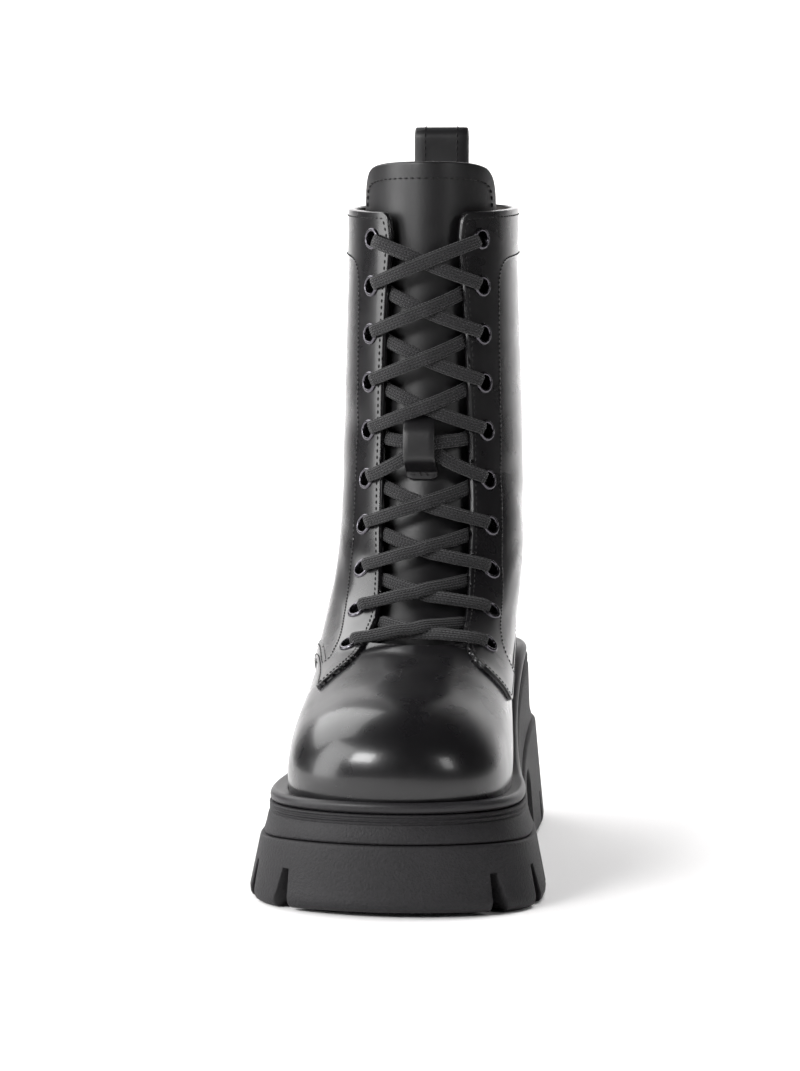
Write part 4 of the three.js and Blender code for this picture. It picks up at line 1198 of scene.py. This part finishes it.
def ribbon_points(stops):
    """A flat band through stops of (x from the ridge, height, lift): its middle is a smooth curve through
    them, its width lies level with the face, and its section is a rounded oblong:
    (|across| / half width) ** 4 + (|high| / half thickness) ** 2 = 1."""
    curve = smooth_curve(stops)
    place = on_front(curve[:, 0], curve[:, 1])
    middle = lifted(*place.T, curve[:, 2])
    run = run_along(middle)
    goal = np.linspace(0, run[-1], int(run[-1] / LACE_STEP) + 2)
    middle, place = at_runs(goal, run, middle), at_runs(goal, run, place)
    normal = upper_normal(*place.T)
    travel = upper_point(*place[-1]) - upper_point(*place[0])
    # Where the face slopes back over the instep the band still stands up towards the front.
    upright = normal - np.array([0.0, 0.75, 0.0]) * np.clip(normal[:, 2:] * 1.6, 0.0, 1.0)
    side = unit(np.cross(upright, travel))
    high = unit(np.cross(unit(np.gradient(middle, axis=0)), side))
    turn = np.linspace(0, TURN, LACE_COLUMNS + 1)[:-1]
    across = np.sign(np.cos(turn)) * np.abs(np.cos(turn)) ** 0.5 * LACE_WIDTH / 2
    rise = np.sin(turn) * LACE_THICKNESS / 2
    grid = middle[:, None] + side[:, None] * across[None, :, None] + high[:, None] * rise[None, :, None]
    round_run = np.r_[0, np.cumsum(np.hypot(np.diff(across), np.diff(rise)))]
    uv = np.stack(np.broadcast_arrays(goal[:, None], round_run[None]), -1)
    return grid, uv


def ribbon_faces(rows, columns, first):
    """The sides of a band and the two fans of quads that close its ends."""
    sides = quads_of(rows, columns, close_columns=True)
    half = np.arange(columns // 2 - 1)
    ends = []
    for base in (0, (rows - 1) * columns):
        ends.append(np.stack([base + half, base + half + 1, base + columns - 2 - half,
                              base + columns - 1 - half], -1))
    return np.concatenate([sides, *ends]) + first


def lace_stops(row, side, over):
    """Stops from the eyelet of one row to the far eyelet of the row above."""
    low_z, low_across = LACE_ROWS[row]
    high_z, high_across = LACE_ROWS[row - 1]
    start = np.array([side * low_across, low_z])
    end = np.array([-side * high_across, high_z])
    length = np.linalg.norm(end - start)
    low_gap = np.interp(low_z, *np.array(THROAT)[::-1, ::-1].T)
    high_gap = np.interp(high_z, *np.array(THROAT)[::-1, ::-1].T)
    leave = (low_across - low_gap) / abs(end[0] - start[0]) * length
    arrive = length - (high_across - high_gap) / abs(end[0] - start[0]) * length
    middle = length * low_across / (low_across + high_across)
    cross = 1.7 if over else -0.7
    if row == 1:
        ends = [(arrive + 1.0, 2.75 if over else 2.6), (length - 4.2, 2.95), (length - 2.6, 2.4),
                (length - 1.5, 0.8),
                (length - 1.0, -1.2), (length - 0.9, -3.5)]
    else:
        ends = [(arrive - 2.4, -2.0), (arrive + 0.8, -3.5), (length - 3.0, -3.7), (length - 1.4, -3.6)]
    stops = [(0.9, -3.4), (1.0, -1.2), (1.5, 0.8), (2.6, 2.4), (4.2, 2.95), (leave - 0.6, 2.6),
             (leave * 0.5 + middle * 0.5, (2.5 if over else 0.9)), (middle - 3.4, cross),
             (middle + 3.4, cross)] + ends
    # The crossing that the keeper holds is pulled up in its middle.
    pull = 4.5 if row == 5 else 0.0
    return [(*(start + (end - start) * s / length + (0.0, pull * np.exp(-((s - middle) / 11.0) ** 2))), lift)
            for s, lift in stops]


for row in range(1, len(LACE_ROWS)):
    grids = [ribbon_points(lace_stops(row, -1, True)), ribbon_points(lace_stops(row, 1, False))]
    if row == len(LACE_ROWS) - 1:
        grids.append(ribbon_points(LACE_BAR))
    points, faces, uvs = [], [], []
    total = 0
    for grid, uv in grids:
        points.append(grid.reshape(-1, 3))
        uvs.append(uv.reshape(-1, 2))
        faces.append(ribbon_faces(*grid.shape[:2], total))
        total += len(points[-1])
    crossing = add_mesh(f"lace_band_{row}", np.concatenate(points), np.concatenate(faces), [lace_braid],
                        uv=np.concatenate(uvs))
    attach(crossing, "root")
    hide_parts(f"lace_crossing_{row}")

# ---- Lace keeper ----
# A loop of satin leather on the tongue that the lace passes through. Its ends are tucked and stitched
# to the tongue.

KEEPER_PATH = ((168.4, -5.2), (170.4, -5.1), (171.9, -4.2), (173.4, 0.0), (175.0, 3.4), (178.5, 4.6),
               (184.0, 4.9),
               (188.0, 4.3), (191.2, 2.0), (194.0, -1.6), (196.6, -4.0), (202.0, -5.0))
KEEPER_WIDTH = 14.0
KEEPER_THICKNESS = 1.4


def strap_grid(path_points, outwards, across, width, thickness, corner):
    """A flat strap with rounded edges: a closed section of 12 points is carried along the path. Its
    width shrinks over the last millimetres at both ends by a quarter circle of radius corner."""
    run = run_along(path_points)
    near_end = np.minimum(np.minimum(run, run[-1] - run) / corner, 1.0)
    half = width / 2 - corner * (1 - np.sqrt(1 - (1 - near_end) ** 2))
    r = thickness / 2
    turn = np.linspace(-np.pi / 2, np.pi / 2, 5)
    right = np.stack([half[:, None] - r + r * np.cos(turn), np.broadcast_to(r * np.sin(turn), (len(run), 5))],
                     -1)
    left = np.stack([-half[:, None] + r - r * np.cos(turn),
                     np.broadcast_to(-r * np.sin(turn), (len(run), 5))], -1)
    spread = np.array([0.6, 0.2, -0.2, -0.6])
    top = np.stack([half[:, None] * spread, np.full((len(run), 4), r)], -1)
    bottom = np.stack([-half[:, None] * spread, np.full((len(run), 4), -r)], -1)
    section = np.concatenate([right, top, left, bottom], 1)
    return (path_points[:, None] + across[:, None] * section[..., :1] + outwards[:, None] * section[..., 1:])


keeper_place = on_front(np.full(len(KEEPER_PATH), -2.0), np.array(KEEPER_PATH)[:, 0])
keeper_path = even_path(lifted(*keeper_place.T, np.array(KEEPER_PATH)[:, 1]), 0.7)
keeper_across = np.tile([1.0, 0.0, 0.0], (len(keeper_path), 1))
keeper_along = np.gradient(keeper_path, axis=0)
keeper_out = unit(np.cross(keeper_across, keeper_along))
keeper_grid = strap_grid(keeper_path, keeper_out, keeper_across, KEEPER_WIDTH, KEEPER_THICKNESS, 2.0)


def add_strap(name, grid, node):
    """A strap as one closed mesh of satin leather, with its ends closed by one face each."""
    rows, columns = grid.shape[:2]
    faces = quads_of(rows, columns, close_columns=True).tolist()
    faces += [list(range(columns)), list(range((rows - 1) * columns, rows * columns))]
    mesh = bpy.data.meshes.new(name)
    mesh.from_pydata((grid.reshape(-1, 3) * 0.001).tolist(), [], faces)
    shape = bmesh.new()
    shape.from_mesh(mesh)
    bmesh.ops.recalc_face_normals(shape, faces=shape.faces)
    shape.to_mesh(mesh)
    shape.free()
    mesh.polygons.foreach_set("use_smooth", np.ones(len(mesh.polygons), dtype=bool))
    mesh.set_sharp_from_angle(angle=np.radians(60))
    mesh.materials.append(satin_leather)
    piece = bpy.data.objects.new(name, mesh)
    bpy.context.scene.collection.objects.link(piece)
    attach(piece, "root")
    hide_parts(node)


add_strap("keeper_loop", keeper_grid, "lace_keeper")
keeper_row = on_front(-2.0 + np.linspace(-5.6, 5.6, 9), 170.5)
add_stitching("keeper_stitches", [stitch_points(keeper_row, -4.3, pitch=2.8, size=(2.5, 0.8, 0.5),
                                                slant=0.9)])

# ---- Pull loop ----
# A leather loop at the back of the collar: stitched down outside, folded over and stitched inside.

LOOP_WIDTH = 25.0
LOOP_THICKNESS = 1.8
LOOP_TOP = 325.6
LOOP_BULGE = 4.3
LOOP_SEAT = 2.6  # from the middle of the wall to the strap's middle, outside below the collar
LOOP_INNER_SEAT = 2.35  # the same inside
LOOP_FREE = (290.0, 304.0)  # heights between which the strap leaves the collar
LOOP_X = 1.0


def back_lift_point(z, out):
    """The middle line of the loop: above the collar the back goes on upwards in a straight line."""
    u = np.interp(z, *upper_point(np.linspace(12, COLLAR + 5, 300), np.pi)[:, [2]].T,
                  np.linspace(12, COLLAR + 5, 300))
    point = upper_point(u, np.pi)
    point[..., 1] += out - 1.2
    point[..., 2] = z
    return point


loop_z = np.array([258.0, 264.0, 272.0, 281.0, 290.0, 297.0, 304.0, 311.0])
loop_share = smooth_step(*LOOP_FREE, loop_z)
loop_out = LOOP_SEAT + (LOOP_BULGE - LOOP_SEAT) * loop_share
loop_arch = np.linspace(0, np.pi, 9)[1:-1]
arch_z = LOOP_TOP - LOOP_THICKNESS / 2 - LOOP_BULGE
side_z = np.r_[loop_z, arch_z]
side_out = np.r_[loop_out, LOOP_BULGE]
full_z = np.r_[side_z, arch_z + LOOP_BULGE * np.sin(loop_arch), side_z[::-1]]
inner_out = np.r_[LOOP_INNER_SEAT + (LOOP_BULGE - LOOP_INNER_SEAT) * loop_share, LOOP_BULGE]
full_out = np.r_[side_out, LOOP_BULGE * np.cos(loop_arch), -inner_out[::-1]]
loop_path = even_path(back_lift_point(full_z, full_out), 1.2)
loop_along = np.gradient(loop_path, axis=0)
loop_across = np.tile([1.0, 0.0, 0.0], (len(loop_path), 1))
loop_facing = unit(np.cross(loop_along, loop_across))
loop_path[:, 0] = LOOP_X
loop_grid = strap_grid(loop_path, loop_facing, loop_across, LOOP_WIDTH, LOOP_THICKNESS, 2.0)
# Below the collar the loop follows the round of the back, read off the section under the collar.
round_share = 1 - smooth_step(*LOOP_FREE, loop_path[:, 2])[:, None]
back_curve = upper_point(COLLAR - 1.0, np.linspace(np.pi + 0.9, np.pi - 0.9, 91))
back_round = upper_point(COLLAR - 1.0, np.pi)[1] - np.interp(loop_grid[..., 0], back_curve[:, 0],
                                                             back_curve[:, 1])
loop_grid[..., 1] -= back_round * round_share
add_strap("pull_loop_strap", loop_grid, "pull_loop")
loop_run = run_along(loop_path)
loop_goal = np.arange(6.0, loop_run[-1] - 6.0, 3.0)
loop_rows = []
for column in (5, 8):  # the section's columns on the outer face, 4 mm in from either side
    face = loop_grid[:, column]
    spots, ways, outs = (
        at_runs(loop_goal, loop_run, part) for part in (face, np.gradient(face, axis=0), loop_facing))
    loop_rows.append(beads_at(spots + outs * 0.1, ways, outs, size=(2.1, 0.7, 0.45)))
add_stitching("pull_loop_stitches", loop_rows)
